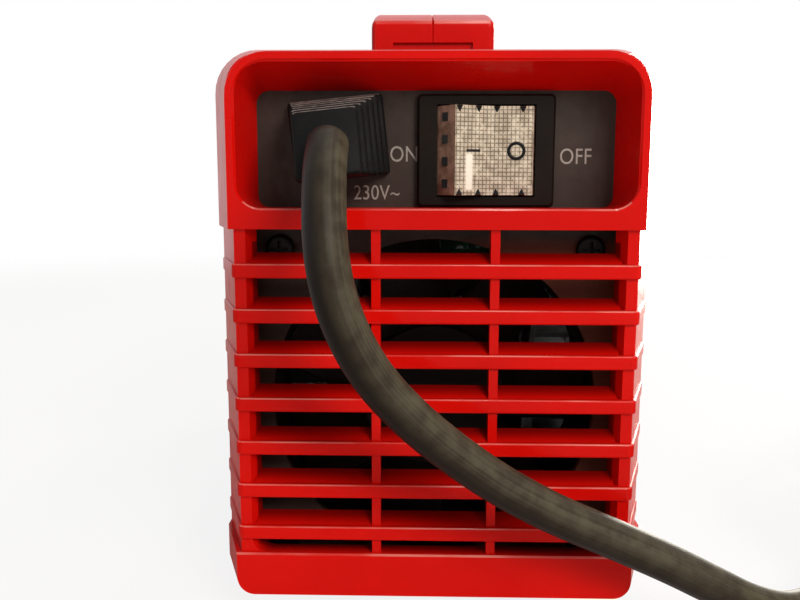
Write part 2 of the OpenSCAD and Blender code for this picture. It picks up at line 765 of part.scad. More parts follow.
module led(x) {
    rod_y(x, board_front, front_panel_y + 1.5, led_z, 2.45);
    translate([x, front_panel_y + 1.5, led_z]) sphere(2.45);
}
module power_led() color("lime") led(led_x - 7);
module overheat_led() color("orange") led(led_x + 7);

// ---- wiring --------------------------------------------------------------

// Pairs of insulated wires; each wire has its own height or offset k
function spread(path, v) = [for (p = path) p + v];

module mains_wires() color("saddlebrown")
    for (k = [0, 3]) {
        sweep(spread([[relief_x, panel_y + 5.2, relief_z], [relief_x + 2, panel_y + 10, relief_z],
            [relief_x + 8, panel_y + 18, relief_z + 4], [-8, switch_back + 10, switch_z + 9],
            [0, switch_back + 12, switch_z + 9]], [0, 0, -k]), 1.1, 8);
        sweep(spread([[24, switch_back + 9, switch_z + 4], [27, switch_back + 14, 104], [28, -56, 92],
            [26, -52, 74], [24, -50, 50], [23, -50, 32], [22, -50, board_top + 0.1]], [k, 0, 0]), 1.1, 8);
    }

module fan_wires() color("firebrick")
    for (k = [0, 2.4])
        sweep(spread([[-30, fan_y + fan_t + 2, 88], [-28, -61, 76], [-24, -58, 60], [-21, -54, 44],
            [-20, -50, 30], [-20, -50, board_top + 0.1]], [k, 0, 0]), 0.8, 8);

// ---- mains lead and plug -------------------------------------------------

module cord_run() color([0.2, 0.22, 0.2]) sweep(ROUTE, cord_r, 10);

// Outer shape of the wound lead: two full layers and part of a third
module cord_coil() color([0.2, 0.22, 0.2])
    translate([coil_x, coil_y, 0]) {
        rotate_extrude($fn = 96) translate([coil_r - cord_r, 0]) square([2 * cord_d, 2 * cord_d]);
        rotate([0, 0, top_turn[0]]) rotate_extrude(angle = top_turn[1] - top_turn[0], $fn = 96)
            translate([outer_r - cord_r, 2 * cord_d]) square([cord_d, cord_d]);
    }

// Places its children with +X along the plug, which leans from the coil to the floor
module at_plug() translate(plug_at) rotate([0, plug_lean, plug_heading]) children();

module plug_body() color([0.06, 0.06, 0.06])
    at_plug() {
        rotate([0, 90, 0]) cylinder(r1 = 5.2, r2 = 6.5, h = 22);
        translate([22, 0, 0]) intersection() {
            rotate([0, 90, 0]) cylinder(r1 = 9, r2 = 17, h = 22);
            translate([0, -17, -9]) cube([22, 34, 18]);
        }
        translate([44, 0, 0]) intersection() {
            rotate([0, 90, 0]) cylinder(r = 17, h = plug_len - 44);
            translate([0, -17, -9]) cube([plug_len - 44, 34, 18]);
        }
    }

module plug_pins() color("silver")
    at_plug() for (s = [-1, 1])
        translate([plug_len, s * 9.5, 0]) rotate([0, 90, 0]) cylinder(r = 2.4, h = 19);

rear_cover();
rear_panel();
front_cover();
front_panel();
base_pan();
top_shell();
foot_rear_left();
foot_rear_right();
foot_front_left();
foot_front_right();
handle_left();
handle_right();
handle_screws();
handle_bolts();
rear_cover_screws();
front_cover_screws();
foot_screws();
strain_relief();
switch_frame();
rocker();
neon_lamp();
switch_terminals();
fan_frame();
fan_rotor();
fan_stator();
fan_bearing();
fan_screws();
main_board();
standoffs();
capacitors();
heatsink_left();
heatsink_right();
power_transistors();
rectifier_bridge();
transformer_core();
transformer_windings();
choke_core();
choke_winding();
relay();
busbar_positive();
busbar_negative();
socket_positive_body();
socket_positive_insert();
socket_negative_body();
socket_negative_insert();
socket_bolts();
control_board();
potentiometer();
pot_shaft();
current_knob();
display_module();
display_window();
power_led();
overheat_led();
mains_wires();
fan_wires();
cord_run();
cord_coil();
plug_body();
plug_pins();
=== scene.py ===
# %% [markdown]
# # A small stick welding inverter
# A welding inverter is a box of power electronics in a plastic and sheet steel case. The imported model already
# holds every piece at its real size. This lesson gives the pieces their looks: rounded plastic mouldings,
# painted steel, rubber, brass and copper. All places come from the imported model, in metres.

import json
from math import cos, pi, radians, sin, sqrt, tan

import bmesh
import bpy
from mathutils import Matrix, Vector

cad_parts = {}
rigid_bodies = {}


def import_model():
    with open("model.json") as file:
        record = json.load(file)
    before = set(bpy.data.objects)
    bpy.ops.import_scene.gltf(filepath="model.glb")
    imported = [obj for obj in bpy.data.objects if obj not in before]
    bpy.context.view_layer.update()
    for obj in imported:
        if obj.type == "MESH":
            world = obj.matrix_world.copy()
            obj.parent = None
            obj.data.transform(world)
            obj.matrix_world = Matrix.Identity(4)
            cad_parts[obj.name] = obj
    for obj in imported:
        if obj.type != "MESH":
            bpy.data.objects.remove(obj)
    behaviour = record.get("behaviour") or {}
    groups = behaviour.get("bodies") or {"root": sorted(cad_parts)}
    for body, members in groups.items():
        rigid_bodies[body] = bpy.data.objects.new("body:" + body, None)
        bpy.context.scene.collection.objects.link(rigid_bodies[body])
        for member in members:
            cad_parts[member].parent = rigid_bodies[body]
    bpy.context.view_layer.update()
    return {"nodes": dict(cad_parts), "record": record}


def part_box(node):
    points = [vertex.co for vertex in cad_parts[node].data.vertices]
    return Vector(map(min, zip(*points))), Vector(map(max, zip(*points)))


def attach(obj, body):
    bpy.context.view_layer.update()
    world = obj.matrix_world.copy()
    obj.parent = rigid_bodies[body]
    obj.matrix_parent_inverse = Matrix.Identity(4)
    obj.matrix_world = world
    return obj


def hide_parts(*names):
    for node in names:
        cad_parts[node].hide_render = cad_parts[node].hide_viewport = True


for start_object in list(bpy.data.objects):
    bpy.data.objects.remove(start_object)
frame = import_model()
MM = 0.001


def placed(name, data):
    """A new object in the scene."""
    piece = bpy.data.objects.new(name, data)
    bpy.context.collection.objects.link(piece)
    return piece


def extent(node):
    """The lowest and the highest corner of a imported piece, in millimetres."""
    return [[v / MM for v in corner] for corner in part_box(node)]


print("pieces in the packed model:", len(frame["nodes"]))

# %% [markdown]
# ## Camera
# The view is from the rear, a hand's length away, at the height of the recess and a little downwards. A 36 mm
# lens on a 36 mm sensor gives the strong perspective of a close view.

# %% Camera
rear_y = extent("rear_cover")[0][1]
camera_data = bpy.data.cameras.new("camera")
camera_data.lens = 36
camera_data.sensor_width = 36
camera_data.clip_start = 0.005
camera = placed("camera", camera_data)
camera_place = Vector((-3.7, rear_y - 172.6, 100.4)) * MM
heading, downward, roll = 1.32, 7.97, 0.1
camera.matrix_world = (
    Matrix.Translation(camera_place)
    @ Matrix.Rotation(radians(heading), 4, "Z")
    @ Matrix.Rotation(radians(90 - downward), 4, "X")
    @ Matrix.Rotation(radians(roll), 4, "Z")
)
bpy.context.scene.camera = camera
bpy.context.scene.view_settings.view_transform = "Standard"
print("camera at", [round(v, 4) for v in camera_place])

# %% [markdown]
# ## Small helpers for modelling
# Each piece starts as a primitive, is shaped in edit mode, and is finished with modifiers that are applied.
# The helpers keep the selection tidy, because an operator acts on everything that is selected.


# %% Selecting and adding
def only(piece):
    """Makes one piece the only selected and active one."""
    bpy.ops.object.select_all(action="DESELECT")
    piece.select_set(True)
    bpy.context.view_layer.objects.active = piece
    return piece


def settle(piece):
    """Moves a piece's place, turn and scale into its mesh."""
    only(piece)
    bpy.ops.object.transform_apply(location=True, rotation=True, scale=True)
    return piece


def named(name):
    piece = bpy.context.object
    piece.name = name
    return settle(piece)


def add(name, operator, **settings):
    """Runs one of Blender's operators that add something, and names what it made."""
    bpy.ops.object.select_all(action="DESELECT")
    operator(**settings)
    return named(name)


def box(name, low, high):
    """A block between two corners, in millimetres."""
    low, high = Vector(low) * MM, Vector(high) * MM
    return add(name, bpy.ops.mesh.primitive_cube_add, size=1, location=(low + high) / 2, scale=high - low)


def rod(name, start, end, radius, sides=48, end_radius=None):
    """A cylinder or cone between two points, in millimetres."""
    start, end = Vector(start) * MM, Vector(end) * MM
    return add(
        name,
        bpy.ops.mesh.primitive_cone_add,
        vertices=sides,
        radius1=radius * MM,
        radius2=(radius if end_radius is None else end_radius) * MM,
        depth=(end - start).length,
        location=(start + end) / 2,
        rotation=(end - start).to_track_quat("Z", "Y").to_euler(),
    )


# %% Finishing and combining
def use(piece, kind, **settings):
    """Adds a modifier with its settings and applies it."""
    modifier = piece.modifiers.new(kind.lower(), kind)
    for key, value in settings.items():
        setattr(modifier, key, value)
    only(piece)
    bpy.ops.object.modifier_apply(modifier=modifier.name)
    return piece


def join(name, *pieces):
    """Several pieces in one mesh."""
    only(pieces[0])
    for piece in pieces:
        piece.select_set(True)
    bpy.ops.object.join()
    return named(name)


def combine(piece, operation, *others):
    """Cuts other shapes out of a piece, or adds them to it."""
    for other in others:
        use(piece, "BOOLEAN", operation=operation, object=other, solver="EXACT")
        bpy.data.objects.remove(other)
    return piece


def cut(piece, *cutters):
    return combine(piece, "DIFFERENCE", *cutters)


def round_edges(piece, width, angle=32, segments=3):
    """Rounds every edge sharper than an angle, and keeps large faces flat in the shading."""
    use(piece, "WELD", merge_threshold=0.00002)
    use(
        piece,
        "BEVEL",
        width=width * MM,
        segments=segments,
        limit_method="ANGLE",
        angle_limit=radians(angle),
        miter_outer="MITER_ARC",
        use_clamp_overlap=True,
    )
    smooth(45, piece)
    use(piece, "WEIGHTED_NORMAL", keep_sharp=True, weight=60)
    return piece


def smooth(angle, *pieces):
    """Smooth shading over the edges that are blunter than an angle."""
    for piece in pieces:
        only(piece)
        bpy.ops.object.shade_smooth_by_angle(angle=radians(angle))


def turn(piece, angle, axis, centre):
    """Turns a piece about a point, in degrees and millimetres."""
    centre = Vector(centre) * MM
    there, back = Matrix.Translation(centre), Matrix.Translation(-centre)
    piece.matrix_world = there @ Matrix.Rotation(radians(angle), 4, axis) @ back @ piece.matrix_world
    return settle(piece)


def loft(name, loops):
    """A closed solid through rings of points, each ring in millimetres, bridged one to the next."""
    mesh = bpy.data.meshes.new(name)
    count = len(loops[0])
    points = [Vector(p) * MM for ring in loops for p in ring]
    edges = [
        (r * count + i, r * count + (i + 1) % count) for r in range(len(loops)) for i in range(count)
    ]
    mesh.from_pydata(points, edges, [])
    piece = only(placed(name, mesh))
    bpy.ops.object.mode_set(mode="EDIT")
    bpy.ops.mesh.select_mode(type="EDGE")
    for r in range(len(loops) - 1):
        select_points(piece, r * count, (r + 2) * count)
        bpy.ops.mesh.bridge_edge_loops()
    for r in (0, len(loops) - 1):
        select_points(piece, r * count, (r + 1) * count)
        bpy.ops.mesh.edge_face_add()
    return outward(piece)


def outward(piece):
    """Turns every face outwards, and leaves edit mode."""
    bpy.ops.object.mode_set(mode="EDIT")
    bpy.ops.mesh.select_all(action="SELECT")
    bpy.ops.mesh.normals_make_consistent(inside=False)
    bpy.ops.object.mode_set(mode="OBJECT")
    return piece


def select_points(piece, first, end):
    """Selects the vertices from first up to end, and the edges that they bound, in edit mode."""
    bpy.ops.mesh.select_all(action="DESELECT")
    shape = bmesh.from_edit_mesh(piece.data)
    shape.verts.ensure_lookup_table()
    for vertex in shape.verts:
        vertex.select = first <= vertex.index < end
    shape.select_mode = {"VERT"}
    shape.select_flush_mode()
    shape.select_mode = {"EDGE"}
    for edge in shape.edges:
        edge.select = all(vertex.select for vertex in edge.verts)
    bmesh.update_edit_mesh(piece.data)


def arc(centre, radius, start, end, steps):
    """Points along an arc, in degrees, both ends included."""
    angles = [radians(start + (end - start) * i / steps) for i in range(steps + 1)]
    return [(centre[0] + radius * cos(a), centre[1] + radius * sin(a)) for a in angles]


def rounded(x0, x1, z0, z1, low, high, steps=8):
    """Outline of a rectangle with round corners: low is the lower corners' radius and high the upper's."""
    centres = (x1 - low, z0 + low), (x1 - high, z1 - high), (x0 + high, z1 - high), (x0 + low, z0 + low)
    outline = []
    for i, (centre, radius) in enumerate(zip(centres, (low, high, high, low))):
        outline += arc(centre, radius, 90 * i - 90, 90 * i, steps)
    return outline


def ring_at(outline, y):
    """An (x, z) outline as a ring of points in the plane at y."""
    return [(x, y, z) for x, z in outline]


def flipped(points):
    """The same points on the other side of the middle, the last one first."""
    return [(-x, y) for x, y in reversed(points)]


print("helpers ready")

# %% [markdown]
# ## The mains lead
# The lead leaves its rubber strain relief, sags down across the louvres and reaches the bench beside the
# machine. The rest of its 1.5 metres is wound into a neat coil there. The free stretch follows listed
# points; the coil is worked out turn by turn: out, in, up and out again, so that no turn cuts another.

# %% Route of the lead
CORD = 8.5
COIL = (160, -81.5)
INNER, OUTER = 43.5, 52.0
free_route = [
    (-21.8, -119.5, 109.1), (-21.7, -125.7, 104.3), (-21.4, -130.5, 97.9), (-20.9, -133.5, 90.3),
    (-19.6, -134.5, 82.1), (-17, -134.3, 74.1), (-12.8, -133, 66), (-7, -130.8, 58.4), (1, -128, 50.4),
    (12, -125, 41.6), (24, -122, 34), (37, -119.5, 27.5), (50, -117.5, 21), (61, -115, 14.7),
    (70, -112.6, 9.6), (78.5, -109.6, 6.2), (86.4, -105.3, 4.7), (93.6, -99.5, 4.3), (99.6, -92.7, 4.25),
    (104, -85, 4.25), (107.1, -76.6, 4.25),
]
# each step of the winding: where it starts and ends in degrees, its change of radius and of height
winding = [
    (-126, -184, INNER - OUTER, 0),
    (-460, -510, 0, CORD),
    (-768, -834, OUTER - INNER, 0),
    (-1092, -1136, 0, CORD),
    (-1255, -1308, 0, 4.8),
]
plug_at = Vector((140.8, -30.9, 26))
plug_heading, plug_lean = 40, 16
level = cos(radians(plug_lean))
plug_axis = Vector(
    (level * cos(radians(plug_heading)), level * sin(radians(plug_heading)), -sin(radians(plug_lean)))
)


def ease(t):
    t = min(max(t, 0), 1)
    return t * t * (3 - 2 * t)


def coil_point(angle):
    """Point of the coil at an angle that falls as the lead is wound on."""
    radius, height = OUTER, CORD / 2
    for start, end, wider, higher in winding:
        share = ease((start - angle) / (start - end))
        radius += wider * share
        height += higher * share
    return (COIL[0] + radius * cos(radians(angle)), COIL[1] + radius * sin(radians(angle)), height)


coil_route = [coil_point(angle) for angle in range(165, -1306, -15)]
route = [Vector(p) for p in free_route + coil_route] + [plug_at, plug_at + plug_axis * 4]


def smooth_path(points, steps):
    """Catmull-Rom curve through points."""
    path = []
    for i in range(len(points) - 1):
        before, here = points[max(i - 1, 0)], points[i]
        there, after = points[i + 1], points[min(i + 2, len(points) - 1)]
        for j in range(steps):
            t = j / steps
            path.append(
                0.5
                * (
                    2 * here
                    + (there - before) * t
                    + (2 * before - 5 * here + 4 * there - after) * t**2
                    + (3 * here - before - 3 * there + after) * t**3
                )
            )
    return path + [points[-1]]


cord_path = smooth_path(route, 4)
cord_length = sum((b - a).length for a, b in zip(cord_path, cord_path[1:]))
print("lead length, mm:", round(cord_length), "points:", len(route))


# %% Tube along a path
def tube(name, path, thick, sides=24):
    """A round tube along a path, with a UV map that runs round it and along it."""
    shape = bmesh.new()
    uv = shape.loops.layers.uv.new("along")
    side = Vector((1, 0, 0))
    rings, travelled, lengths = [], 0, []
    for i, point in enumerate(path):
        ahead = (path[min(i + 1, len(path) - 1)] - path[max(i - 1, 0)]).normalized()
        side = (side - ahead * side.dot(ahead)).normalized()
        up = ahead.cross(side)
        rings.append(
            [
                shape.verts.new(
                    (point + thick * (cos(2 * pi * k / sides) * side + sin(2 * pi * k / sides) * up)) * MM
                )
                for k in range(sides)
            ]
        )
        lengths.append(travelled)
        if i + 1 < len(path):
            travelled += (path[i + 1] - point).length
    for i in range(len(rings) - 1):
        for k in range(sides):
            n = (k + 1) % sides
            face = shape.faces.new((rings[i][k], rings[i][n], rings[i + 1][n], rings[i + 1][k]))
            face.smooth = True
            places = ((k, i), (k + 1, i), (k + 1, i + 1), (k, i + 1))
            for loop, (around, along) in zip(face.loops, places):
                loop[uv].uv = (around / sides, lengths[along] * MM)
    shape.faces.new(list(reversed(rings[0])))
    shape.faces.new(rings[-1])
    mesh = bpy.data.meshes.new(name)
    shape.to_mesh(mesh)
    shape.free()
    return placed(name, mesh)


mains_cord = tube("mains_cord", cord_path, CORD / 2)
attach(mains_cord, "machine")
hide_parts("cord_run", "cord_coil")
print("lead laid")

# %% [markdown]
# ## Writing a finish
# A finish is a small network of nodes. To keep it readable, one class wraps a socket so that sums are written
# as in Python, and one method adds any other node. Uniform numbers are set on the shader itself; only what
# changes over the surface is linked.


# %% Shader maths
class Value:
    """A socket's number, with Python's maths."""

    def __init__(self, finish, socket):
        self.finish, self.socket = finish, socket

    def maths(self, operation, *values):
        inputs = dict(enumerate(values))
        return self.finish.node("ShaderNodeMath", dict(operation=operation), inputs)

    def __add__(self, other):
        return self.maths("ADD", self, other)

    def __mul__(self, other):
        return self.maths("MULTIPLY", self, other)

    def __sub__(self, other):
        return self.maths("SUBTRACT", self, other)

    def __rsub__(self, other):
        return self.maths("SUBTRACT", other, self)

    __radd__, __rmul__ = __add__, __mul__

    def above(self, limit):
        return self.maths("GREATER_THAN", self, limit)

    def below(self, limit):
        return self.maths("LESS_THAN", self, limit)

    def repeat(self, length):
        """Distance along a pattern that repeats."""
        return self.maths("PINGPONG", self, length / 2)

    def size(self):
        return self.maths("ABSOLUTE", self)

    def between(self, low, high, start=0, end=1):
        """Runs smoothly from start to end as the value goes from low to high."""
        return self.finish.node(
            "ShaderNodeMapRange",
            dict(interpolation_type="SMOOTHSTEP"),
            {"Value": self, "From Min": low, "From Max": high, "To Min": start, "To Max": end},
        )


class Finish:
    """A material that is being written."""

    def __init__(self, name, colour=(0.8, 0.8, 0.8, 1), roughness=0.5, **uniform):
        self.material = bpy.data.materials.new(name)
        self.material.use_nodes = True
        self.nodes = self.material.node_tree.nodes
        self.shader = self.nodes["Principled BSDF"]
        self.output = self.nodes["Material Output"]
        self.look("Base Color", colour)
        self.look("Roughness", roughness)
        for key, value in uniform.items():
            self.look(key.replace("_", " ").title().replace("Ior", "IOR"), value)

    def put(self, socket, value):
        if isinstance(value, Value):
            value = value.socket
        if isinstance(value, bpy.types.NodeSocket):
            self.material.node_tree.links.new(value, socket)
        else:
            socket.default_value = value

    def look(self, name, value):
        """Sets or links an input of the main shader."""
        self.put(self.shader.inputs[name], value)

    def node(self, kind, settings={}, inputs={}, output=0):
        made = self.nodes.new(kind)
        for key, value in settings.items():
            setattr(made, key, value)
        for key, value in inputs.items():
            self.put(made.inputs[key], value)
        return Value(self, made.outputs[output])

    def place(self, scale=(1, 1, 1), turn=(0, 0, 0), of="Object"):
        """Object coordinates in metres, or the UV map, scaled for a pattern."""
        start = self.node("ShaderNodeTexCoord", output=of)
        return self.node("ShaderNodeMapping", inputs={"Vector": start, "Scale": scale, "Rotation": turn})

    def noise(self, scale, detail=2, rough=0.5, stretch=(1, 1, 1), of="Object"):
        """Cloudy pattern from 0 to 1, scale in patches to the metre."""
        place = self.place(stretch, of=of)
        inputs = {"Vector": place, "Scale": scale, "Detail": detail, "Roughness": rough}
        return self.node("ShaderNodeTexNoise", inputs=inputs)

    def cells(self, scale):
        """Distance from the nearest of many scattered points."""
        inputs = {"Vector": self.place(), "Scale": scale}
        return self.node("ShaderNodeTexVoronoi", inputs=inputs, output="Distance")

    def axes(self, of="Object"):
        """The three coordinates, each as a value."""
        split = self.node("ShaderNodeSeparateXYZ", inputs={0: self.place(of=of)})
        return [Value(self, split.socket.node.outputs[i]) for i in range(3)]

    def colour(self, share, first, second):
        """Paints the surface in a mixture of two colours."""
        self.look("Base Color", self.mix(share, first, second))

    def rough(self, value):
        self.look("Roughness", value)

    def mix(self, share, first, second):
        """Mixes two colours."""
        made = self.node("ShaderNodeMix", dict(data_type="RGBA"), output=2)
        for socket, value in zip([made.socket.node.inputs[i] for i in (0, 6, 7)], (share, first, second)):
            self.put(socket, value)
        return made

    def bump(self, height, depth, strength):
        """Raises the surface; depth is in metres."""
        inputs = {"Height": height, "Distance": depth, "Strength": strength}
        self.look("Normal", self.node("ShaderNodeBump", inputs=inputs))


def paint(red, green, blue):
    """A display colour from 0 to 255 as the linear colour that a shader takes."""
    shares = [c / 255 for c in (red, green, blue)]
    return tuple(c / 12.92 if c <= 0.04 else ((c + 0.055) / 1.055) ** 2.4 for c in shares) + (1,)


def worn(finish, colour, other, scale, share=None, over=None):
    """Two close tones of one colour in soft patches; a third colour may lie over a share of the surface, which
    the red cover uses for painted shade and the grey panel for a painted reflection.
    """
    cloud = finish.noise(scale, detail=4, rough=0.6)
    tones = finish.mix(cloud.between(0.3, 0.7), colour, other)
    if share is not None:
        tones = finish.mix(share, tones, over)
    finish.look("Base Color", tones)
    return cloud


print("finish tools ready")

# %% [markdown]
# ## Stage and light
# The machine stands on a pale table that fades into a white room. The fade is in the table's own material:
# the further from the machine, the clearer it gets, so no horizon shows behind the case. A large soft lamp
# hangs at the upper right, a weaker one fills from the left, one behind catches the flared side,
# and a narrow strip overhead adds a faint line of light to the upper rounded edges, whose bright lines are
# painted highlights.

# %% Room and table
stage = Finish("table_white", paint(238, 236, 232), 0.75)
rays = stage.node("ShaderNodeLightPath", output="Is Camera Ray")
place = stage.node("ShaderNodeTexCoord", output="Object")
distance = stage.node("ShaderNodeVectorMath", dict(operation="LENGTH"), {0: place}, output="Value")
glow = stage.node("ShaderNodeEmission", inputs={"Color": (1, 1, 1, 1), "Strength": 1})
unseen = stage.node("ShaderNodeBsdfTransparent")
pale = stage.node("ShaderNodeMixShader", inputs={0: rays * 0.86, 1: stage.shader.outputs[0], 2: glow})
faded = stage.node("ShaderNodeMixShader", inputs={0: distance.between(0.5, 1.1), 1: pale, 2: unseen})
stage.put(stage.output.inputs["Surface"], faded)

bpy.ops.object.select_all(action="DESELECT")
bpy.ops.mesh.primitive_circle_add(vertices=96, radius=1.2, fill_type="NGON", location=(0, 0, -0.0002))
table = bpy.context.object
table.name = "table"
table.data.materials.append(stage.material)

world = bpy.data.worlds.new("white_room")
world.use_nodes = True
bpy.context.scene.world = world
nodes, links = world.node_tree.nodes, world.node_tree.links
path_kind, room_seen = nodes.new("ShaderNodeLightPath"), nodes.new("ShaderNodeBackground")
room_light = nodes["Background"]
room_light.inputs["Color"].default_value = (1, 0.985, 0.96, 1)
room_light.inputs["Strength"].default_value = 0.23
room_seen.inputs["Color"].default_value = (1, 1, 1, 1)
room_mix = nodes.new("ShaderNodeMixShader")
seen = path_kind.outputs["Is Camera Ray"]
for kind in ("Is Glossy Ray", "Is Transmission Ray"):
    either = nodes.new("ShaderNodeMath")
    either.operation = "MAXIMUM"
    links.new(seen, either.inputs[0])
    links.new(path_kind.outputs[kind], either.inputs[1])
    seen = either.outputs[0]
links.new(seen, room_mix.inputs[0])
links.new(room_light.outputs[0], room_mix.inputs[1])
links.new(room_seen.outputs[0], room_mix.inputs[2])
links.new(room_mix.outputs[0], nodes["World Output"].inputs["Surface"])


def lamp(name, place, aim, size, power, colour=(1, 1, 1)):
    """A soft rectangular lamp that looks at a point; places in metres, power in watts."""
    data = bpy.data.lights.new(name, "AREA")
    data.shape, data.size, data.size_y = "RECTANGLE", size[0], size[1]
    data.energy, data.color = power, colour
    light = placed(name, data)
    light.location = place
    light.rotation_euler = (Vector(aim) - Vector(place)).to_track_quat("-Z", "Y").to_euler()


lamp("key", (0.55, -1, 0.68), (0, -0.05, 0.07), (0.5, 0.4), 11.3, (1, 0.95, 0.88))
lamp("fill", (-0.85, -0.9, 0.4), (0, -0.05, 0.07), (0.5, 0.5), 0.9)
lamp("window", (0.5, 0.8, 0.2), (0, 0, 0.09), (0.3, 0.5), 9, (1, 0.95, 0.84))
lamp("strip", (0.1, -0.12, 0.95), (0, -0.1, 0.07), (0.6, 0.06), 1.4)
print("stage set")

# %% [markdown]
# ## Finishes
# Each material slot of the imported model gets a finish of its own: moulded plastic with a faint flow pattern
# and fine scuffs, powder coat with orange peel, rolled steel with a grain, rubber with a dusty bloom, and the
# coils, boards and cans inside. Every one starts from a colour and a roughness and adds what the hand would
# feel and the eye would see.


# %% Plastics and rubber
def red_plastic():
    """Glossy moulded cover: soft waves, fine scuffs, and painted shade that darkens the louvres towards their
    back.
    """
    shine = dict(specular_ior_level=0.03, coat_weight=0.12, coat_roughness=0.08)
    finish = Finish("red_plastic", paint(208, 14, 7), 0.32, **shine)
    x, y, z = finish.axes()
    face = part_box("rear_cover")[0][1]
    # painted shade: inside the louvre field the red darkens to a deep red from the face towards the back
    louvre_depth_shade = y.between(face + 0.0004, face + 0.0046) * x.size().below(0.0405) * z.below(0.0886)
    cloud = worn(finish, paint(211, 14, 7), paint(201, 12, 6), 35, louvre_depth_shade, paint(112, 5, 3))
    scuffs = finish.noise(900, detail=6, rough=0.7, stretch=(1, 1, 0.12))
    finish.rough(cloud * 0.1 + scuffs.between(0.5, 0.75, 0.24, 0.42))
    waves = finish.noise(70, detail=2)
    finish.bump(finish.noise(2600, detail=2) * 0.25 + waves, 0.00012, 0.35)
    return finish


def red_edge():
    """Painted highlight along the upper edges of the red moulding: pale and shining, more in some places than
    in others.
    """
    shine = dict(specular_ior_level=0.1, coat_weight=0.3, coat_roughness=0.1)
    finish = Finish("red_edge", paint(212, 92, 82), 0.25, **shine)
    # the pale colour is a painted highlight, broken into patches
    glint = finish.noise(45, detail=3)
    finish.colour(glint.between(0.35, 0.65), paint(208, 40, 32), paint(222, 116, 106))
    finish.bump(finish.noise(2600, detail=2), 0.00005, 0.3)
    return finish


def panel_grey():
    """Satin moulded panel with a fine spark-eroded grain, and a painted reddish-brown reflection of the red
    louvres on it behind them, stronger to the right.
    """
    finish = Finish("panel_grey", paint(60, 49, 44), 0.5, specular_ior_level=0.15)
    x, y, z = finish.axes()
    # painted reflection: reddish-brown light thrown by the louvres on the panel below the recess, faint on the
    # left and strong on the right
    painted_red_bounce = z.between(0.086, 0.09, 1, 0) * x.between(-0.01, 0.02, 0.1, 0.9) * y.below(0)
    worn(finish, paint(63, 51, 46), paint(51, 41, 37), 90, painted_red_bounce, paint(108, 54, 39))
    finish.rough(finish.noise(400, detail=4).between(0.3, 0.7, 0.42, 0.6))
    finish.bump(finish.noise(3200, detail=3), 0.0001, 0.5)
    return finish


def grained(name, colour, other, roughness, grain=2400, depth=0.00008):
    """Black or coloured moulded part with a fine grain."""
    finish = Finish(name, colour, roughness, specular_ior_level=0.08)
    cloud = worn(finish, colour, other, 120)
    finish.rough(cloud.between(0.2, 0.8, roughness - 0.07, roughness + 0.1))
    finish.bump(finish.noise(grain, detail=3), depth, 0.5)
    return finish


def frame_black():
    return grained("frame_black", paint(19, 13, 10), paint(26, 18, 14), 0.45)


def component_black():
    return grained("component_black", paint(24, 24, 25), paint(40, 40, 41), 0.5, 5000)


def relay_blue():
    return grained("relay_blue", paint(34, 74, 148), paint(28, 62, 128), 0.35)


def rubber_black():
    """Rubber with a grey bloom on its raised parts."""
    finish = Finish("rubber_black", paint(10, 8, 8), 0.6, specular_ior_level=0.08)
    bloom = finish.noise(260, detail=5, rough=0.65).between(0.45, 0.8)
    finish.colour(bloom, paint(9, 8, 8), paint(22, 18, 17))
    finish.rough(bloom * 0.2 + 0.5)
    finish.bump(finish.noise(1800, detail=4, rough=0.6), 0.00015, 0.6)
    return finish


def cord_rubber():
    """Olive grey sheath: pale streaks along its length, painted light on its upper side and painted shade in
    deep brown beneath.
    """
    finish = Finish("cord_rubber", paint(54, 55, 48), 0.45, specular_ior_level=0.12)
    streaks = finish.noise(60, detail=4, rough=0.6, stretch=(1, 0.25, 1), of="UV")
    mottle = finish.noise(240, detail=3)
    around, along, _ = finish.axes(of="UV")
    # painted light and shade: the side of the lead that faces up and right is painted pale as if lit, the side
    # beneath deep brown as if shaded
    upper = around.maths("COSINE", around * (2 * pi)).between(-0.75, 1.05)
    # the streaks are the sheath's own tone, laid on the painted lit side
    rubbed = finish.mix((streaks + mottle).between(0.7, 1.3), paint(54, 46, 35), paint(86, 80, 64))
    finish.colour(upper, paint(20, 12, 7), rubbed)
    finish.rough(streaks.between(0.3, 0.7, 0.38, 0.56))
    finish.bump(finish.noise(1500, detail=4, rough=0.65) * 0.6 + mottle, 0.00012, 0.5)
    return finish


def dusty_rubber():
    """The upper edges of the strain relief, painted pale as if lit from above."""
    finish = Finish("dusty_rubber", paint(96, 86, 84), 0.7, specular_ior_level=0.2)
    cloud = finish.noise(700, detail=5, rough=0.65)
    finish.colour(cloud.between(0.35, 0.7), paint(124, 112, 108), paint(66, 58, 56))
    finish.rough(cloud * 0.2 + 0.6)
    finish.bump(finish.noise(2200, detail=4, rough=0.6), 0.0001, 0.5)
    return finish


def print_grey():
    """Screen-printed ink, thin in places."""
    finish = Finish("print_grey", paint(150, 142, 136), 0.55, specular_ior_level=0.2)
    thin = finish.noise(1800, detail=4, rough=0.6)
    share = thin.between(0.45, 0.75, 0, 0.6)
    finish.colour(share, paint(158, 150, 143), paint(112, 103, 98))
    finish.rough(thin * 0.2 + 0.45)
    return finish


# %% Metals
def rolled(name, colour, roughness=0.35, grain=(40, 4000, 4000), metallic=1.0, stain=0.25):
    """Bare metal with a rolled or turned grain and light staining."""
    finish = Finish(name, colour, roughness, metallic=metallic)
    dull = tuple(c * 0.72 for c in colour[:3]) + (1,)
    stains = finish.noise(45, detail=5, rough=0.62)
    finish.colour(stains.between(0.35, 0.75, 0, stain * 2), colour, dull)
    lines = finish.noise(1, detail=3, rough=0.6, stretch=grain)
    finish.rough(lines.between(0.3, 0.7, roughness - 0.08, roughness + 0.12) + stains * 0.08)
    finish.bump(lines, 0.00003, 0.4)
    return finish


def pan_steel():
    return rolled("pan_steel", paint(178, 180, 178), 0.38)


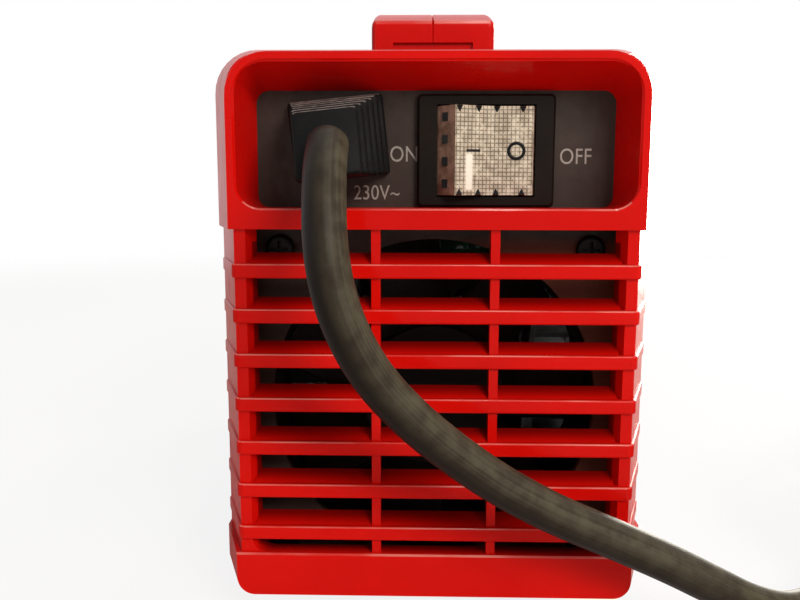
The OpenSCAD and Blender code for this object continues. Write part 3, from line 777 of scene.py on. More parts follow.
def screw_steel():
    return rolled("screw_steel", paint(188, 188, 182), 0.3, (2500, 2500, 2500))


def screw_black():
    return rolled("screw_black", paint(24, 20, 18), 0.45, (2500, 2500, 2500), 0.8)


def brass():
    return rolled("brass", paint(214, 176, 96), 0.28, (3000, 60, 3000))


def copper():
    return rolled("copper", paint(206, 130, 92), 0.32, (60, 2500, 2500))


def sink_aluminium():
    return rolled("sink_aluminium", paint(196, 198, 200), 0.4, (3000, 50, 3000))


def pin_nickel():
    return rolled("pin_nickel", paint(206, 202, 192), 0.2, (1200, 1200, 1200), stain=0.12)


def shell_black():
    """Black powder coat: orange peel and a few pale rubs."""
    finish = Finish("shell_black", paint(34, 34, 36), 0.5, specular_ior_level=0.3)
    rub = finish.noise(28, detail=6, rough=0.7)
    share = rub.between(0.55, 0.85, 0, 0.6)
    finish.colour(share, paint(32, 32, 34), paint(58, 58, 60))
    finish.rough(rub.between(0.3, 0.8, 0.55, 0.4))
    finish.bump(finish.cells(900) * 0.7 + finish.noise(1500, detail=2), 0.00012, 0.45)
    return finish


# %% Lenses, lamps and windows
def rocker_lens():
    """Clear ivory moulding: the square pattern on its back shows through, and a pale band of painted highlight
    stands in it.
    """
    finish = Finish("rocker_lens", paint(214, 196, 162), 0.22, coat_weight=0.6, coat_roughness=0.08)
    x, y, z = finish.axes()
    across = finish.place(turn=(0, 0, radians(-11)))
    split = finish.node("ShaderNodeSeparateXYZ", inputs={0: across}, output="X")
    pitch, line = 0.00092, 0.00012
    upright, level = split.repeat(pitch).below(line), z.repeat(pitch).below(line)
    lines = upright.maths("MAXIMUM", upright, level)
    dirt = finish.noise(500, detail=4, rough=0.7)
    tone = finish.mix(dirt.between(0.35, 0.7), paint(220, 208, 184), paint(162, 144, 118))
    # painted highlight: a pale upright band on the left wing, where a lamp's reflection would lie
    lens_highlight = (x - 0.0075).size().between(0.0005, 0.0011, 1, 0)
    lens_highlight = lens_highlight * z.between(0.0997, 0.1003) * z.between(0.1075, 0.1087, 1, 0)
    squared = finish.mix(lines * dirt.between(0.3, 0.6, 0.35, 0.9), tone, paint(84, 68, 50))
    finish.colour(lens_highlight, squared, paint(250, 243, 226))
    finish.rough(dirt.between(0.3, 0.7, 0.16, 0.34))
    finish.bump(1 - lines, 0.00008, 0.5)
    return finish


def rocker_side():
    """The rocker's ends and edges: the same moulding without the pattern, browner and darker in soft patches.
    """
    finish = Finish("rocker_side", paint(150, 120, 104), 0.3, coat_weight=0.2)
    cloud = worn(finish, paint(164, 132, 114), paint(112, 84, 70), 400)
    finish.rough(cloud * 0.2 + 0.2)
    finish.bump(finish.noise(900, detail=3), 0.00008, 0.4)
    return finish


def clear(name, colour, roughness=0.1, transmission=0.5, **uniform):
    finish = Finish(name, colour, roughness, transmission_weight=transmission, **uniform)
    dust = finish.noise(700, detail=4)
    finish.rough(dust.between(0.4, 0.8, roughness, roughness + 0.18))
    pale = tuple(min(1, c * 1.25 + 0.02) for c in colour[:3]) + (1,)
    finish.colour(dust.between(0.5, 0.8), colour, pale)
    return finish


def neon_glass():
    return clear("neon_glass", paint(240, 170, 110))


def window_smoke():
    return clear("window_smoke", paint(66, 18, 16), 0.12, 0.15, coat_weight=0.8)


def led_green():
    return clear("led_green", paint(96, 190, 104), 0.15, 0.35)


def led_amber():
    return clear("led_amber", paint(232, 160, 60), 0.15, 0.35)


# %% Electrical parts
def board_green():
    """Solder mask over copper tracks and pads."""
    finish = Finish("board_green", paint(22, 92, 52), 0.35, coat_weight=0.4)
    x, y, z = finish.axes()
    wander = finish.noise(90, detail=1)
    tracks = (y + x * 0.4 + wander * 0.012).repeat(0.0052).below(0.0008)
    pads = finish.cells(230).below(0.16)
    green = finish.mix(tracks * 0.8, paint(12, 56, 32), paint(26, 88, 48))
    finish.colour(pads, green, paint(196, 190, 170))
    finish.look("Metallic", pads * 0.8)
    finish.rough(pads * 0.1 + 0.3)
    finish.bump(tracks * 0.4 + pads, 0.00006, 0.5)
    return finish


def winding_enamel():
    """Enamelled copper wire laid side by side."""
    finish = Finish("winding_enamel", paint(168, 88, 42), 0.3, coat_weight=0.5)
    x, y, z = finish.axes()
    wires = (z + finish.noise(60, detail=2) * 0.0006).repeat(0.0011)
    finish.colour(wires.between(0, 0.0004), paint(74, 34, 16), paint(186, 98, 48))
    finish.rough(wires.between(0, 0.0005, 0.5, 0.26))
    finish.bump(wires.between(0, 0.00055), 0.0004, 0.8)
    return finish


def can_sleeve():
    """Shrink sleeve round a capacitor, with a pale stripe and a bare vented top."""
    finish = Finish("can_sleeve", paint(26, 34, 70), 0.3)
    x, y, z = finish.axes()
    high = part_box("capacitors")[1][2]
    top = z.above(high - 0.0009)
    stripe = (x + 0.004).size().below(0.0022)
    sleeve = finish.mix(stripe * (1 - top), paint(24, 32, 66), paint(176, 180, 188))
    finish.colour(top, sleeve, paint(190, 190, 188))
    finish.look("Metallic", top * 0.9)
    finish.rough(finish.noise(300, detail=3).between(0.3, 0.7, 0.26, 0.4))
    finish.bump(finish.noise(160, detail=2), 0.0001, 0.3)
    return finish


def ferrite():
    return grained("ferrite", paint(58, 59, 62), paint(74, 74, 76), 0.6, 1500, 0.0001)


def wire_brown():
    return grained("wire_brown", paint(104, 60, 36), paint(88, 50, 30), 0.4)


def wire_red():
    return grained("wire_red", paint(176, 34, 28), paint(150, 28, 24), 0.4)


# %% Giving each CAD piece its finish
makers = [
    red_plastic, panel_grey, shell_black, pan_steel, rubber_black, screw_steel, screw_black, frame_black,
    rocker_lens, neon_glass, brass, copper, winding_enamel, board_green, can_sleeve, sink_aluminium, ferrite,
    component_black, relay_blue, window_smoke, led_green, led_amber, wire_brown, wire_red, cord_rubber,
    pin_nickel, dusty_rubber, print_grey, rocker_side, red_edge,
]
finishes = {maker.__name__: maker().material for maker in makers}
for name, piece in frame["nodes"].items():
    slot = piece.data.materials[0].name.split(".")[0]
    piece.data.materials[0] = finishes[slot]
print("finishes:", len(finishes))


def finished(piece, slot, *nodes, body="machine"):
    """Gives a new piece its finish and its body, and hides the CAD nodes it stands for."""
    piece.data.materials.clear()
    piece.data.materials.append(finishes[slot])
    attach(piece, body)
    if nodes:
        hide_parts(*nodes)
    return piece


def partly(piece, slot, chosen):
    """Gives the chosen faces of a finished piece a second finish."""
    piece.data.materials.append(finishes[slot])
    for face in piece.data.polygons:
        if chosen(face):
            face.material_index = 1


def pale_edges(piece, behind, slope=0.45):
    """Gives the upper edges of a red piece, as far forward as a given y, the painted highlight finish."""

    def rubbed(face):
        x, y, z = face.normal
        return -y > slope and z > slope and abs(x) < 0.45 and face.center.y < behind * MM

    partly(piece, "red_edge", rubbed)


finished(mains_cord, "cord_rubber")

# %% [markdown]
# ## Rear cover
# The cover is one injection moulded shell: it flares out from its face, carries a drafted recess for the
# inlet and the switch, and below it eight rows of louvres whose grooves run round the corners. It is built as
# the mould maker would see it: a solid form, less an inner core, less grooves and slots, and last a small
# radius on every edge, because a moulded edge is never sharp and its highlight draws the shape.

# %% Measurements of the cover
CORNER = dict(low=4, high=10)
wall, front_wall = 2.3, 5
(left, rear, foot), (right, seam, top) = extent("rear_cover")
(_, panel_y, _), (_, panel_back, _) = extent("rear_panel")
flare_end = rear + 18
face_half, face_low, face_high = right - 6.3, foot + 1.5, top - 3.2
field_low, field_high, slot_half = foot + 11.5, foot + 85.5, 39.5
recess = dict(floor=96, front_half=43.1, back_half=40.7, front_top=face_high - 1.9, back_top=face_high - 6.6)
front_radii = 5.5, 7
bar_tops = [84 - 10 * i for i in range(7)]
bar_height, bar_proud, bar_rise, blade_depth = 3.2, 1, 2.2, 5
groove_end = -86


def form(name, inset, start=0, end=0):
    """The flared outer form, or the same form made smaller all round. The face can stand back."""
    low_r, high_r = max(CORNER["low"] - inset / 2, 0.6), CORNER["high"] - inset

    def ring(half, low, high, y, shrink=0):
        half -= inset
        return ring_at(rounded(-half, half, low + inset, high - inset, low_r, high_r - shrink), y)

    return loft(
        name,
        [
            ring(face_half, face_low, face_high, rear + start, 1),
            ring(right, foot, top, flare_end),
            ring(right, foot, top, seam + end),
        ],
    )


def opening(half, low, high, radii, y, grow):
    """Outline of the recess at y, made larger all round; the radii are the lower and the upper corners'."""
    return ring_at(rounded(-half - grow, half + grow, low - grow, high + grow, *radii), y)


def pocket(name, grow, floor, start=-1):
    """The drafted recess, from in front of the face to the panel."""
    share = start / (panel_y - rear)
    half = recess["front_half"] + (recess["back_half"] - recess["front_half"]) * share
    high = recess["front_top"] + (recess["back_top"] - recess["front_top"]) * share
    front = opening(half, floor, high, front_radii, rear + start, grow)
    back = opening(recess["back_half"], floor, recess["back_top"], (2.6, 3), panel_y, grow)
    return loft(name, [front, back])


cover_size = [round(size, 1) for size in (right - left, top - foot, seam - rear)]
print("width, height and depth of the cover, mm:", cover_size)


# %% The form, its core and the recess
def outer_shell(name):
    """Solid form less the core; the upper part of the face is thinner than the louvred part."""
    shell = form(name, 0)
    core = form("core", wall, start=front_wall, end=1)
    upper_room = box("upper_room", (-60, rear + 2.6, field_high + 1.5), (60, rear + front_wall + 2, 140))
    upper_form = form("upper_form", wall, start=2.6, end=1)
    use(upper_room, "BOOLEAN", operation="INTERSECT", object=upper_form, solver="EXACT")
    bpy.data.objects.remove(upper_form)
    return cut(shell, core, upper_room)


rear_cover = outer_shell("rear_cover_shell")
combine(rear_cover, "UNION", pocket("recess_walls", 2.1, recess["floor"], start=1.2))
cut(rear_cover, pocket("recess_room", 0, recess["floor"]))

# a chamfer leads into the recess, and another runs along the sill under the louvres
lip = 0.4
lip_rings = []
for grow in (2 * lip, 0):
    radii = [radius + grow for radius in front_radii]
    mouth = recess["front_half"], recess["floor"], recess["front_top"]
    lip_rings.append(opening(*mouth, radii, rear + lip - grow, grow))
cut(rear_cover, loft("recess_lip", lip_rings))

# the louvred part is stepped in at the sides, and lies back so that the bars stand proud of it
side_step = 0.7
band = box("band", (-60, rear - 2, field_low), (60, groove_end, field_high))
cut(band, form("band_core", bar_proud, start=bar_proud))
cut(rear_cover, band)
for s in (-1, 1):
    cut(rear_cover, box("step", (s * 60, rear - 2, 0), (s * (right - side_step), seam - 8, field_high)))
sill, half_sill = Vector((0, rear, field_low)), Vector((60, lip * 0.7, lip * 0.7))
cut(rear_cover, turn(box("sill", sill - half_sill, sill + half_sill), 45, "X", sill))
print("shell faces:", len(rear_cover.data.polygons))


# %% Windows between the posts and ribs
def window(x0, x1, spread):
    """A tall opening; its outer wall leans outwards to the front, and its outer corner below is round."""

    def ring(y, wider):
        a, b = x0 - (wider if x0 < -20 else 0), x1 + (wider if x1 > 20 else 0)
        lower_left, lower_right = (3 if x0 < -20 else 0.3), (3 if x1 > 20 else 0.3)
        outline = (
            arc((b - lower_right, field_low + lower_right), lower_right, -90, 0, 6)
            + [(b, field_high), (a, field_high)]
            + arc((a + lower_left, field_low + lower_left), lower_left, 180, 270, 6)
        )
        return ring_at(outline, y)

    return loft("window", [ring(rear - 1, spread * 1.5), ring(rear + front_wall + 0.6, 0)])


for x0, x1 in ((-slot_half, -14), (-12, 12), (14, slot_half)):
    cut(rear_cover, window(x0, x1, 1.9))


# %% Bars with their sloped blades
def bar(high):
    """A belt round the face and both corners, with a blade behind it that rises inwards."""
    low = high - bar_height
    half_face, half_side = face_half - side_step, right - side_step
    lean = (half_side - half_face) / (flare_end - rear)
    inner = 2.4
    end = groove_end + 0.5
    outside = [(half_face - 0.8, rear), (half_face + 0.6 * lean, rear + 0.6)]
    outside += [(half_side, flare_end), (half_side, end)]
    inside = [(half_side - inner, end), (half_side - inner, flare_end)]
    inside += [(half_face - inner + 2 * lean, rear + inner)]
    outline = flipped(outside) + outside + inside + flipped(inside)
    belt = loft("belt", [[(x, y, z) for x, y in outline] for z in (low, high)])
    round_edges(belt, 0.5, angle=25, segments=4)
    back = rear + blade_depth
    profile = [
        (rear + 1.2, low + 0.3), (rear + 1.2, high - 0.15), (back, high + bar_rise),
        (back, low + 0.4 + bar_height), (rear + 2.2, low + 0.3),
    ]
    blade = loft("blade", [[(x, y, z) for y, z in profile] for x in (-slot_half - 1.2, slot_half + 1.2)])
    round_edges(blade, 0.25, segments=2)
    return join("bar", belt, blade)


bars = [bar(high) for high in bar_tops]
print("bars:", len(bars))

# %% Screw holes and rounded edges
side_screw_y, side_screw_heights = 67, (17, 100)
foot_x, foot_y = 36, 78


def cover_holes(piece):
    """Countersunk seats for the side screws and holes for the foot screws, at the rear."""
    for s in (-1, 1):
        for z in side_screw_heights:
            cut(piece, rod("seat", (s * 60, -side_screw_y, z), (s * (right - 1), -side_screw_y, z), 3.1, 32))
            cut(piece, rod("hole", (s * 60, -side_screw_y, z), (s * 40, -side_screw_y, z), 1.6, 24))
        cut(piece, rod("hole", (s * foot_x, -foot_y, 0), (s * foot_x, -foot_y, 12), 1.6, 24))


cover_holes(rear_cover)
round_edges(rear_cover, 0.45)
rear_cover = join("rear_cover_shell", rear_cover, *bars)
finished(rear_cover, "red_plastic", "rear_cover")
# painted highlight along the cover's upper front edges
pale_edges(rear_cover, rear + 1.5)
print("rear cover faces:", len(rear_cover.data.polygons))

# %% [markdown]
# ## Switch
# The bezel is moulded in one with the body that snaps into the panel. The rocker is one clear ivory moulding
# on a vertical pin: two faces in a shallow V, slanted ends with four small sight holes, and a row of notches
# along both edges where the mould's pins stood. Its marks are the usual bar and ring.

# %% Bezel and body
(bezel_x0, bezel_y0, bezel_z0), (bezel_x1, switch_back, bezel_z1) = extent("switch_frame")
joints = {joint["name"]: joint for joint in frame["record"]["behaviour"]["joints"]}
pivot = Vector(joints["rocker_tilt"]["pos_m"]) / MM
rocker_r, rocker_half, play = 12.77, 9.9, 0.35


def plate(name, outline, y0, y1, edge=0.5):
    """A plate with a chamfer round its front (y0) face; outline is called with an inset."""
    return loft(name, [ring_at(outline(edge), y0), ring_at(outline(0), y0 + edge), ring_at(outline(0), y1)])


def bezel_outline(inset):
    return rounded(bezel_x0 + inset, bezel_x1 - inset, bezel_z0 + inset, bezel_z1 - inset, 1, 1, 4)


switch_frame = plate("switch_bezel", bezel_outline, bezel_y0, panel_y)
body_half_x, body_half_z = 13.9, 10.95
body_low = (pivot.x - body_half_x, panel_y - 1, pivot.z - body_half_z)
body_high = (pivot.x + body_half_x, switch_back, pivot.z + body_half_z)
combine(switch_frame, "UNION", box("switch_body", body_low, body_high))
reach = Vector((0, 0, rocker_half + play))
swing = rod("swing", pivot - reach, pivot + reach, rocker_r + play, 96)
cavity = box(
    "cavity",
    pivot + Vector((-rocker_r - play, 0, -rocker_half - play)),
    pivot + Vector((rocker_r + play, 10, rocker_half + play)),
)
cut(switch_frame, swing, cavity)
round_edges(switch_frame, 0.3)
finished(switch_frame, "frame_black", "switch_frame")

# %% Rocker
slope = 11
corner_x, corner_out = 9, 9.06


def face_out(x):
    """How far the face stands from the pivot, in the rocker's middle position."""
    return corner_out - (corner_x - abs(x)) * tan(radians(slope))


def rocker_ring(z):
    """Outline of the rocker's body, its two faces in a shallow V, at a height from the pivot."""
    right_side = [(12.6, -2), (12.69, 0), (12.6, 2), (12.3, 3.4), (11.84, 4.62), (corner_x, corner_out)]
    outline = right_side + [(0, face_out(0))] + flipped(right_side)
    return [(pivot.x + x, pivot.y - out, pivot.z + z) for x, out in outline]


def peg(side, z, inner, outer):
    """A square peg in a slanted end, from an inner to an outer distance."""
    seat = pivot + Vector((side * 11, -5.9, z))
    low, high = Vector((side * inner, -0.6, -0.95)), Vector((side * outer, 0.6, 0.95))
    return turn(box("peg", seat + low, seat + high), side * 33, "Z", seat)


def wedge(side, x, size, out, past):
    """A notch's wedge, pointing to the middle, that starts in front of the face and past its edge."""
    start = pivot + Vector((x, -face_out(x) - out, side * (rocker_half + past)))
    return rod("notch", start, start - Vector((0, 0, side * 1.35)), size, 6, end_radius=0.05)


rocker = loft("rocker_body", [rocker_ring(z) for z in (-rocker_half, rocker_half)])
# black blocks set into the inner part of each sight hole and notch are painted shade, so the hollows read dark
hole_shade = []
for z in (-7.3, -2.4, 2.5, 7.4):
    for s in (-1, 1):
        cut(rocker, peg(s, z, -1.4, 1.4))
        hole_shade.append(peg(s, z, -1.5, 0.1))
for x in (-8, -3.4, 0.9, 6.6):
    for s in (-1, 1):
        cut(rocker, wedge(s, x, 0.85, 0.1, 0.2))
        hole_shade.append(wedge(s, x, 0.8, -0.08, -0.15))
round_edges(rocker, 0.28)


def on_face(piece, x):
    """Lays a mark, made flat in front of the pivot, on the face at x."""
    return turn(piece, slope if x < 0 else -slope, "Z", (pivot.x + x, pivot.y - face_out(x), pivot.z))


bar_x, ring_x = -4.6, 5.3
bar_place = pivot + Vector((bar_x, -face_out(bar_x), 0))
bar_mark = box("mark_bar", bar_place - Vector((1.7, 0.05, 0.3)), bar_place + Vector((1.7, 0.2, 0.3)))
round_edges(bar_mark, 0.04, segments=1)
ring_mark = add(
    "mark_ring",
    bpy.ops.mesh.primitive_torus_add,
    major_radius=1.72 * MM,
    minor_radius=0.36 * MM,
    major_segments=48,
    minor_segments=8,
    location=(pivot + Vector((ring_x, -face_out(ring_x), 0))) * MM,
    rotation=(radians(90), 0, 0),
)
# the bar and the ring are print; the black blocks joined with them are painted shade
marks_and_hole_shade = join("rocker_marks_and_hole_shade", on_face(bar_mark, bar_x), on_face(ring_mark, ring_x), *hole_shade)
sides = {face.index for face in rocker.data.polygons if face.normal.y > -0.9}
for piece in (rocker, marks_and_hole_shade):
    turn(piece, slope, "Z", pivot)
finished(rocker, "rocker_lens", "rocker", body="rocker")
partly(rocker, "rocker_side", lambda face: face.index in sides)
finished(marks_and_hole_shade, "component_black", body="rocker")
print("rocker faces:", len(rocker.data.polygons))

# %% [markdown]
# ## Strain relief
# A black rubber sleeve of square plates on a core. Each plate outwards is smaller and leans a little more,
# because the lead's weight has drawn the sleeve down; the gaps between them are what lets it flex.

# %% Ribbed sleeve
relief = Vector((-21.8, panel_y, 111.4))
plates, plate_step = 6, 24.5 / 6


def relief_plate(i):
    share = i / (plates - 1)
    half = Vector(((21.5 - 8 * share) / 2, 1.05, (18 - 3.8 * share) / 2))

    def outline(inset):
        return rounded(inset - half.x, half.x - inset, inset - half.z, half.z - inset, 0.9, 0.9, 4)

    steps = (0.3, -half.y), (0, 0.3 - half.y), (0, half.y - 0.3), (0.3, half.y)
    piece = loft("relief_plate", [ring_at(outline(inset), y) for inset, y in steps])
    place = Vector((relief.x - 0.5 * share, relief.y - plate_step * i - 1.3, relief.z - 2.2 * share)) * MM
    lean = Matrix.Rotation(radians(-6), 4, "Y") @ Matrix.Rotation(radians(-16 * share), 4, "X")
    piece.matrix_world = Matrix.Translation(place) @ lean
    return settle(piece)


sleeve = [relief_plate(i) for i in range(plates)]
behind = Vector((relief.x, panel_back, relief.z))
inside = behind + Vector((0, 3, 0))
core = rod("core", relief + Vector((0, -18, 0)), inside, 4.4)
collar = round_edges(rod("collar", behind, inside, 9), 0.4)
smooth(40, *sleeve)
strain_relief = join("strain_relief_sleeve", *sleeve, core, collar)
finished(strain_relief, "rubber_black", "strain_relief")
# painted light: the sleeve's upward faces are painted pale, as if lit from above
lit_faces_front = (panel_y - 1) * MM
partly(strain_relief, "dusty_rubber", lambda face: face.normal.z > 0.6 and face.center.y < lit_faces_front)
print("plates:", len(sleeve))

# %% [markdown]
# ## Words on the panels
# Screen printed in pale grey ink: the switch positions, the supply voltage, numbers round the current dial
# and the signs of the output sockets. The ink is a film of a few hundredths of a millimetre.


# %% Print
def word(text, centre, height, y, facing=-1):
    """A word centred at (x, z) on the panel face at y, read from the rear (-1) or from the front (1)."""
    bpy.ops.object.select_all(action="DESELECT")
    bpy.ops.object.text_add()
    piece = bpy.context.object
    letters = piece.data
    letters.body, letters.size, letters.extrude = text, height / 0.7 * MM, 0.02 * MM
    letters.align_x, letters.align_y, letters.space_character = "CENTER", "CENTER", 1.04
    bpy.ops.object.convert(target="MESH")
    piece = bpy.context.object
    piece.location = Vector((centre[0], y + facing * 0.02, centre[1])) * MM
    piece.rotation_euler = (radians(90), 0, radians(180) if facing > 0 else 0)
    piece.scale = (0.82, 1, 1)
    return settle(piece)


rear_print = join(
    "rear_print",
    word("ON", (-7.1, 107.9), 3.5, panel_y),
    word("OFF", (31.9, 107.4), 3.5, panel_y),
    word("230V~", (-13.4, 99.2), 3.3, panel_y),
)
finished(rear_print, "print_grey")
print("words printed")

# %% [markdown]
# ## Handle
# Two moulded halves meet on a seam down the middle and are screwed together through the right half. The arch
# rises a little towards its middle, its outer edges are well rounded for the palm, and the seam's small
# chamfers leave the fine groove that shows where the halves meet. The foot of each leg has a recess.

# %% Side view of the arch
handle_low, handle_high = [Vector(corner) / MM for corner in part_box("handle_right")]
handle_half, handle_len, leg, grip = handle_high.x, 2 * handle_high.y, 15, 9
arch_rise = 9
arch_r = ((handle_len / 2) ** 2 + arch_rise**2) / (2 * arch_rise)
arch_z = handle_high.z - arch_r
seam_screws = [(-44, 139), (0, handle_high.z - grip / 2), (44, 139)]


def fillet(corners, steps=4):
    """Rounds the corners (y, z, radius) of an outline; a corner with no radius keeps its place."""
    points = []
    for i, (y, z, radius) in enumerate(corners):
        here = Vector((y, z))
        before, after = Vector(corners[i - 1][:2]) - here, Vector(corners[(i + 1) % len(corners)][:2]) - here
        if not radius:
            points.append((y, z))
            continue
        reach = min(radius / tan(before.angle(after) / 2), before.length * 0.45, after.length * 0.45)
        start, end = here + before.normalized() * reach, here + after.normalized() * reach
        for j in range(steps + 1):
            t = j / steps
            points.append(tuple(start * (1 - t) ** 2 + here * 2 * t * (1 - t) + end * t**2))
    return points


def arch(inset):
    """The arch seen from the side, made smaller all round by the inset."""

    def over(radius, reach, direction, count=16):
        steps = [reach * (1 - 2 * i / count) * direction for i in range(1, count)]
        return [(y, arch_z + sqrt(radius**2 - y**2), 0) for y in steps]

    outer, inner = handle_len / 2 - inset, handle_len / 2 - leg + inset
    outer_r, inner_r, low = arch_r - inset, arch_r - grip + inset, handle_low.z + inset
    shoulder, armpit = arch_z + sqrt(outer_r**2 - outer**2), arch_z + sqrt(inner_r**2 - inner**2)
    return fillet(
        [(-outer, low, 0.5), (-outer, shoulder, 2.2)]
        + over(outer_r, outer, -1)
        + [(outer, shoulder, 2.2), (outer, low, 0.5), (inner, low, 0.5), (inner, armpit, 4)]
        + over(inner_r, inner, 1)
        + [(-inner, armpit, 4), (-inner, low, 0.5)]
    )


def handle_side(side):
    """One half of the handle; side is -1 for left and 1 for right."""
    edge = 1.7
    sections = [(0, 0.3), (0.3, 0)] + [
        (handle_half - edge + edge * sin(radians(a)), edge * (1 - cos(radians(a)))) for a in range(0, 91, 18)
    ]
    piece = loft("handle_half", [[(side * x, y, z) for y, z in arch(inset)] for x, inset in sections])
    low_x, high_x = sorted((-side, 11 * side))
    for s in (-1, 1):
        low_y, high_y = sorted((s * (handle_len / 2 - 1.2), s * (handle_len / 2 + 1)))
        low, high = (low_x, low_y, handle_low.z + 1.2), (high_x, high_y, handle_low.z + 10.4)
        cut(piece, box("recess", low, high))
    for y, z in seam_screws:
        seat, outside = side * (handle_half - 2.2), side * (handle_half + 1)
        cut(piece, rod("seat", (seat, y, z), (outside, y, z), 2.6, 32))
    return round_edges(piece, 0.22, angle=55, segments=2)


for side, hand in ((-1, "left"), (1, "right")):
    half = finished(handle_side(side), "red_plastic", f"handle_{hand}")
    half.name = f"handle_half_{hand}"
    # painted highlight along the handle's upper edges
    pale_edges(half, 3 - handle_len / 2, slope=0.3)
print("handle halves done")

# %% [markdown]
# ## Front cover
# The same moulding as the rear cover without its louvres: one tall drafted opening shows the control panel
# and the output sockets.


# %% Front cover
def mirrored(piece):
    """The same piece on the other side of the machine's middle."""
    piece.matrix_world = Matrix.Scale(-1, 4, (0, 1, 0)) @ piece.matrix_world
    return outward(settle(piece))


front_cover = cut(form("front_cover_shell", 0), form("core", wall, start=3, end=1))
combine(front_cover, "UNION", pocket("recess_walls", 2.1, 20, start=1.2))
cut(front_cover, pocket("recess_room", 0, 20))
cover_holes(front_cover)
mirrored(front_cover)
round_edges(front_cover, 0.45)
finished(front_cover, "red_plastic", "front_cover")
print("front cover faces:", len(front_cover.data.polygons))

# %% [markdown]
# ## Screws
# Cross-head screws hold the covers, the handle, the fan and the feet. One function shapes them all.


# %% One screw, many places
def screw(place, direction, head, height, shaft, length):
    """A pan-head screw whose head sits at a place and looks in a direction."""
    top = round_edges(rod("head", (0, 0, 0), (0, 0, height), head, 32), height * 0.4, angle=50)
    for x, y in ((head * 0.6, 0.36), (0.36, head * 0.6)):
        cut(top, box("cross", (-x, -y, height * 0.35), (x, y, height + 1)))
    piece = join("screw", top, rod("shank", (0, 0, -length), (0, 0, 0.2), shaft, 20))
    aim = Vector(direction).to_track_quat("Z", "Y").to_matrix().to_4x4()
    piece.matrix_world = Matrix.Translation(Vector(place) * MM) @ aim
    return settle(piece)


for end, y in (("rear", -side_screw_y), ("front", side_screw_y)):
    screws = [
        screw((s * (right - 1), y, z), (s, 0, 0), 2.9, 1.5, 1.5, 6.4)
        for s in (-1, 1)
        for z in side_screw_heights
    ]
    finished(join(end + "_side_screws", *screws), "screw_steel", end + "_cover_screws")
feet = [(x, y, 2.5) for x in (-foot_x, foot_x) for y in (-foot_y, foot_y)]
under_screws = [screw(place, (0, 0, -1), 2.9, 1.6, 1.5, 10) for place in feet]
finished(join("under_screws", *under_screws), "screw_steel", "foot_screws")
clamps = [
    screw((handle_half - 2.2, y, z), (1, 0, 0), 2.4, 1.4, 1.2, handle_half * 2 - 7) for y, z in seam_screws
]
finished(join("seam_screws", *clamps), "screw_black", "handle_screws")
fan_back = extent("fan_screws")[1][1]
fan_z, half_pitch = 50.5, 35.8
fixings = []
for x in (-half_pitch, half_pitch):
    for z in (fan_z - half_pitch, fan_z + half_pitch):
        fixings.append(screw((x, panel_y, z), (0, -1, 0), 3.4, 2.1, 1.9, fan_back - panel_y))
        fixings.append(round_edges(rod("nut", (x, fan_back - 3, z), (x, fan_back - 0.8, z), 3.5, 6), 0.2))
finished(join("fan_fixings", *fixings), "screw_black", "fan_screws")
print("screws in place")

# %% [markdown]
# ## Current knob and its scale
# A black knob with eighteen flutes, so that a gloved hand turns it, and a white pointer line. Ticks and the
# numbers 0 to 10 stand round it on the panel.

# %% Knob
shaft_low, shaft_high = extent("pot_shaft")
knob = (Vector(shaft_low) + Vector(shaft_high)) / 2
knob_y0, knob_y1 = [corner[1] for corner in extent("current_knob")]


def flute_ring(y, inset, fluted=1):
    """Outline of the knob; the flutes fade where fluted is 0."""
    points = []
    for i in range(144):
        a = radians(2.5 * i)
        r = 10.4 + 0.55 * fluted * cos(18 * a) - inset
        points.append((knob.x + r * cos(a), y, knob.z + r * sin(a)))
    return points


knob_rings = [
    (knob_y0, 0.5), (knob_y0 + 0.5, 0), (knob_y1 - 2.2, 0), (knob_y1 - 1.1, 0.5, 0.6),
    (knob_y1 - 0.2, 1.6, 0), (knob_y1, 2.6, 0),
]
knob_body = loft("knob_body", [flute_ring(*ring) for ring in knob_rings])
smooth(38, knob_body)
face = Vector((knob.x, knob_y1, knob.z))
pointer = box("pointer", face + Vector((-0.6, -0.4, -9)), face + Vector((0.6, -0.02, -2.5)))
round_edges(pointer, 0.12)
turn(pointer, -45, "Y", face)
finished(knob_body, "frame_black", "current_knob", body="current_knob")
finished(pointer, "print_grey", body="current_knob")

# %% Scale and signs on the front panel
front_y = extent("front_panel")[1][1]
dial = Vector((knob.x, front_y, knob.z))
ink = []
for i in range(11):
    a = radians(45 + 27 * i)
    away = Vector((sin(a), 0, -cos(a)))
    tick = box("tick", (-0.25, 0, 0), (0.25, 0.04, 1.6 if i % 5 else 2.4))
    tick_place = Matrix.Translation((dial + away * 12.4) * MM)
    tick.matrix_world = tick_place @ Matrix.Rotation(radians(180) - a, 4, "Y")
    ink.append(settle(tick))
    if i % 2 == 0:
        place = dial + away * 17.2
        ink.append(word(str(i), (place.x, place.z), 2.3, front_y, facing=1))
ink += [word("+", (22, 62.3), 5, front_y, facing=1), word("-", (-22, 62.3), 5, front_y, facing=1)]
finished(join("front_print", *ink), "print_grey")
print("scale printed")

# %% [markdown]
# ## Plug
# A rubber plug of the common two-pin kind: a ringed sleeve, a flat grip that widens towards the pins, finger
# grooves across it and two round pins with domed ends.

# %% Plug
plug_place = (
    Matrix.Translation(plug_at * MM)
    @ Matrix.Rotation(radians(plug_heading), 4, "Z")
    @ Matrix.Rotation(radians(plug_lean), 4, "Y")
)


def plug_ring(x, wide, high):
    """A round section at x, cut flat above and below where it is wider than it is high."""
    points = []
    for i in range(64):
        a = radians(360 * i / 64)
        z = wide * sin(a)
        z = max(-high, min(high, z)) if wide > high else z
        points.append((x, wide * cos(a), z))
    return points


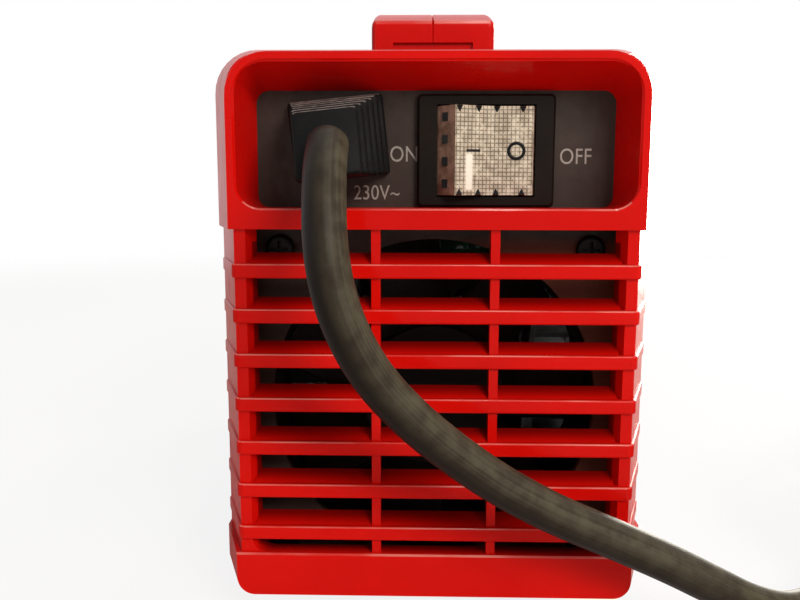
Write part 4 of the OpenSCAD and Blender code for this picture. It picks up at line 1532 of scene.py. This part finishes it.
sleeve_rings = []
for i in range(12):
    x, r = i * 1.9, 5.1 + 0.11 * i
    for further, lower in ((0, 0), (0.9, 0), (1.0, 0.7), (1.8, 0.7)):
        sleeve_rings.append(plug_ring(x + further, r - lower, 30))
plug_sleeve = loft("plug_sleeve", sleeve_rings)
grip_rings = [
    (21, 6.6, 6.6), (22.5, 8.4, 8.2), (26, 9.8, 8.7), (32, 12, 9), (38, 14.2, 9), (44, 16.4, 9), (48, 17, 9),
    (59, 17, 9), (60.3, 16.7, 8.7), (61, 16, 8),
]
plug_grip = loft("plug_grip", [plug_ring(*ring) for ring in grip_rings])
for i in range(4):
    for s in (-1, 1):
        x = 47 + 3 * i
        cut(plug_grip, box("groove", (x, -11, s * 8.5 - 0.5), (x + 1.2, 11, s * 8.5 + 0.5 * s + 0.5)))
smooth(35, plug_sleeve, plug_grip)
plug_grip = join("plug_grip", plug_grip, plug_sleeve)
pins = [rod("pin", (60.5, s * 9.5, 0), (80, s * 9.5, 0), 2.4, 32) for s in (-1, 1)]
plug_rods = join("plug_rods", *[round_edges(pin, 0.9, angle=50) for pin in pins])
for piece in (plug_grip, plug_rods):
    piece.matrix_world = plug_place
    settle(piece)
finished(plug_grip, "rubber_black", "plug_body")
finished(plug_rods, "pin_nickel", "plug_pins")
[p * MM for p in cord_path]
print("plug done")

# %% [markdown]
# ## Softer edges on the sheet metal and the parts inside
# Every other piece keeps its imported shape. Small live bevels and weighted normals give each the soft edge of
# its own process: folded sheet, moulded feet, sawn fins, wound coils.

# %% Live bevels
softness = {
    "base_pan": 0.3, "top_shell": 0.35, "foot_rear_left": 0.5,
    "foot_rear_right": 0.5, "foot_front_left": 0.5, "foot_front_right": 0.5, "handle_bolts": 0.3,
    "neon_lamp": 0.5, "switch_terminals": 0.15, "fan_frame": 0.5, "fan_rotor": 0.25, "fan_stator": 0.4,
    "fan_bearing": 0.2, "main_board": 0.2, "standoffs": 0.2, "capacitors": 0.9, "heatsink_left": 0.25,
    "heatsink_right": 0.25, "power_transistors": 0.2, "rectifier_bridge": 0.4, "transformer_core": 0.6,
    "transformer_windings": 1.2, "choke_core": 0.8, "choke_winding": 0.5, "relay": 0.6,
    "busbar_positive": 0.3, "busbar_negative": 0.3, "socket_positive_body": 0.6, "socket_negative_body": 0.6,
    "socket_positive_insert": 0.3, "socket_negative_insert": 0.3, "socket_bolts": 0.4, "control_board": 0.2,
    "potentiometer": 0.4, "pot_shaft": 0.3, "display_module": 0.3, "display_window": 0.4,
}
for name, width in softness.items():
    piece = frame["nodes"][name]
    weld = piece.modifiers.new("weld", "WELD")
    weld.merge_threshold = 0.00001
    soft = piece.modifiers.new("soft_edge", "BEVEL")
    soft.width, soft.segments, soft.limit_method, soft.angle_limit = width * MM, 2, "ANGLE", radians(35)
    soft.use_clamp_overlap = True
    normals = piece.modifiers.new("normals", "WEIGHTED_NORMAL")
    normals.keep_sharp = False
print("softened:", len(softness))
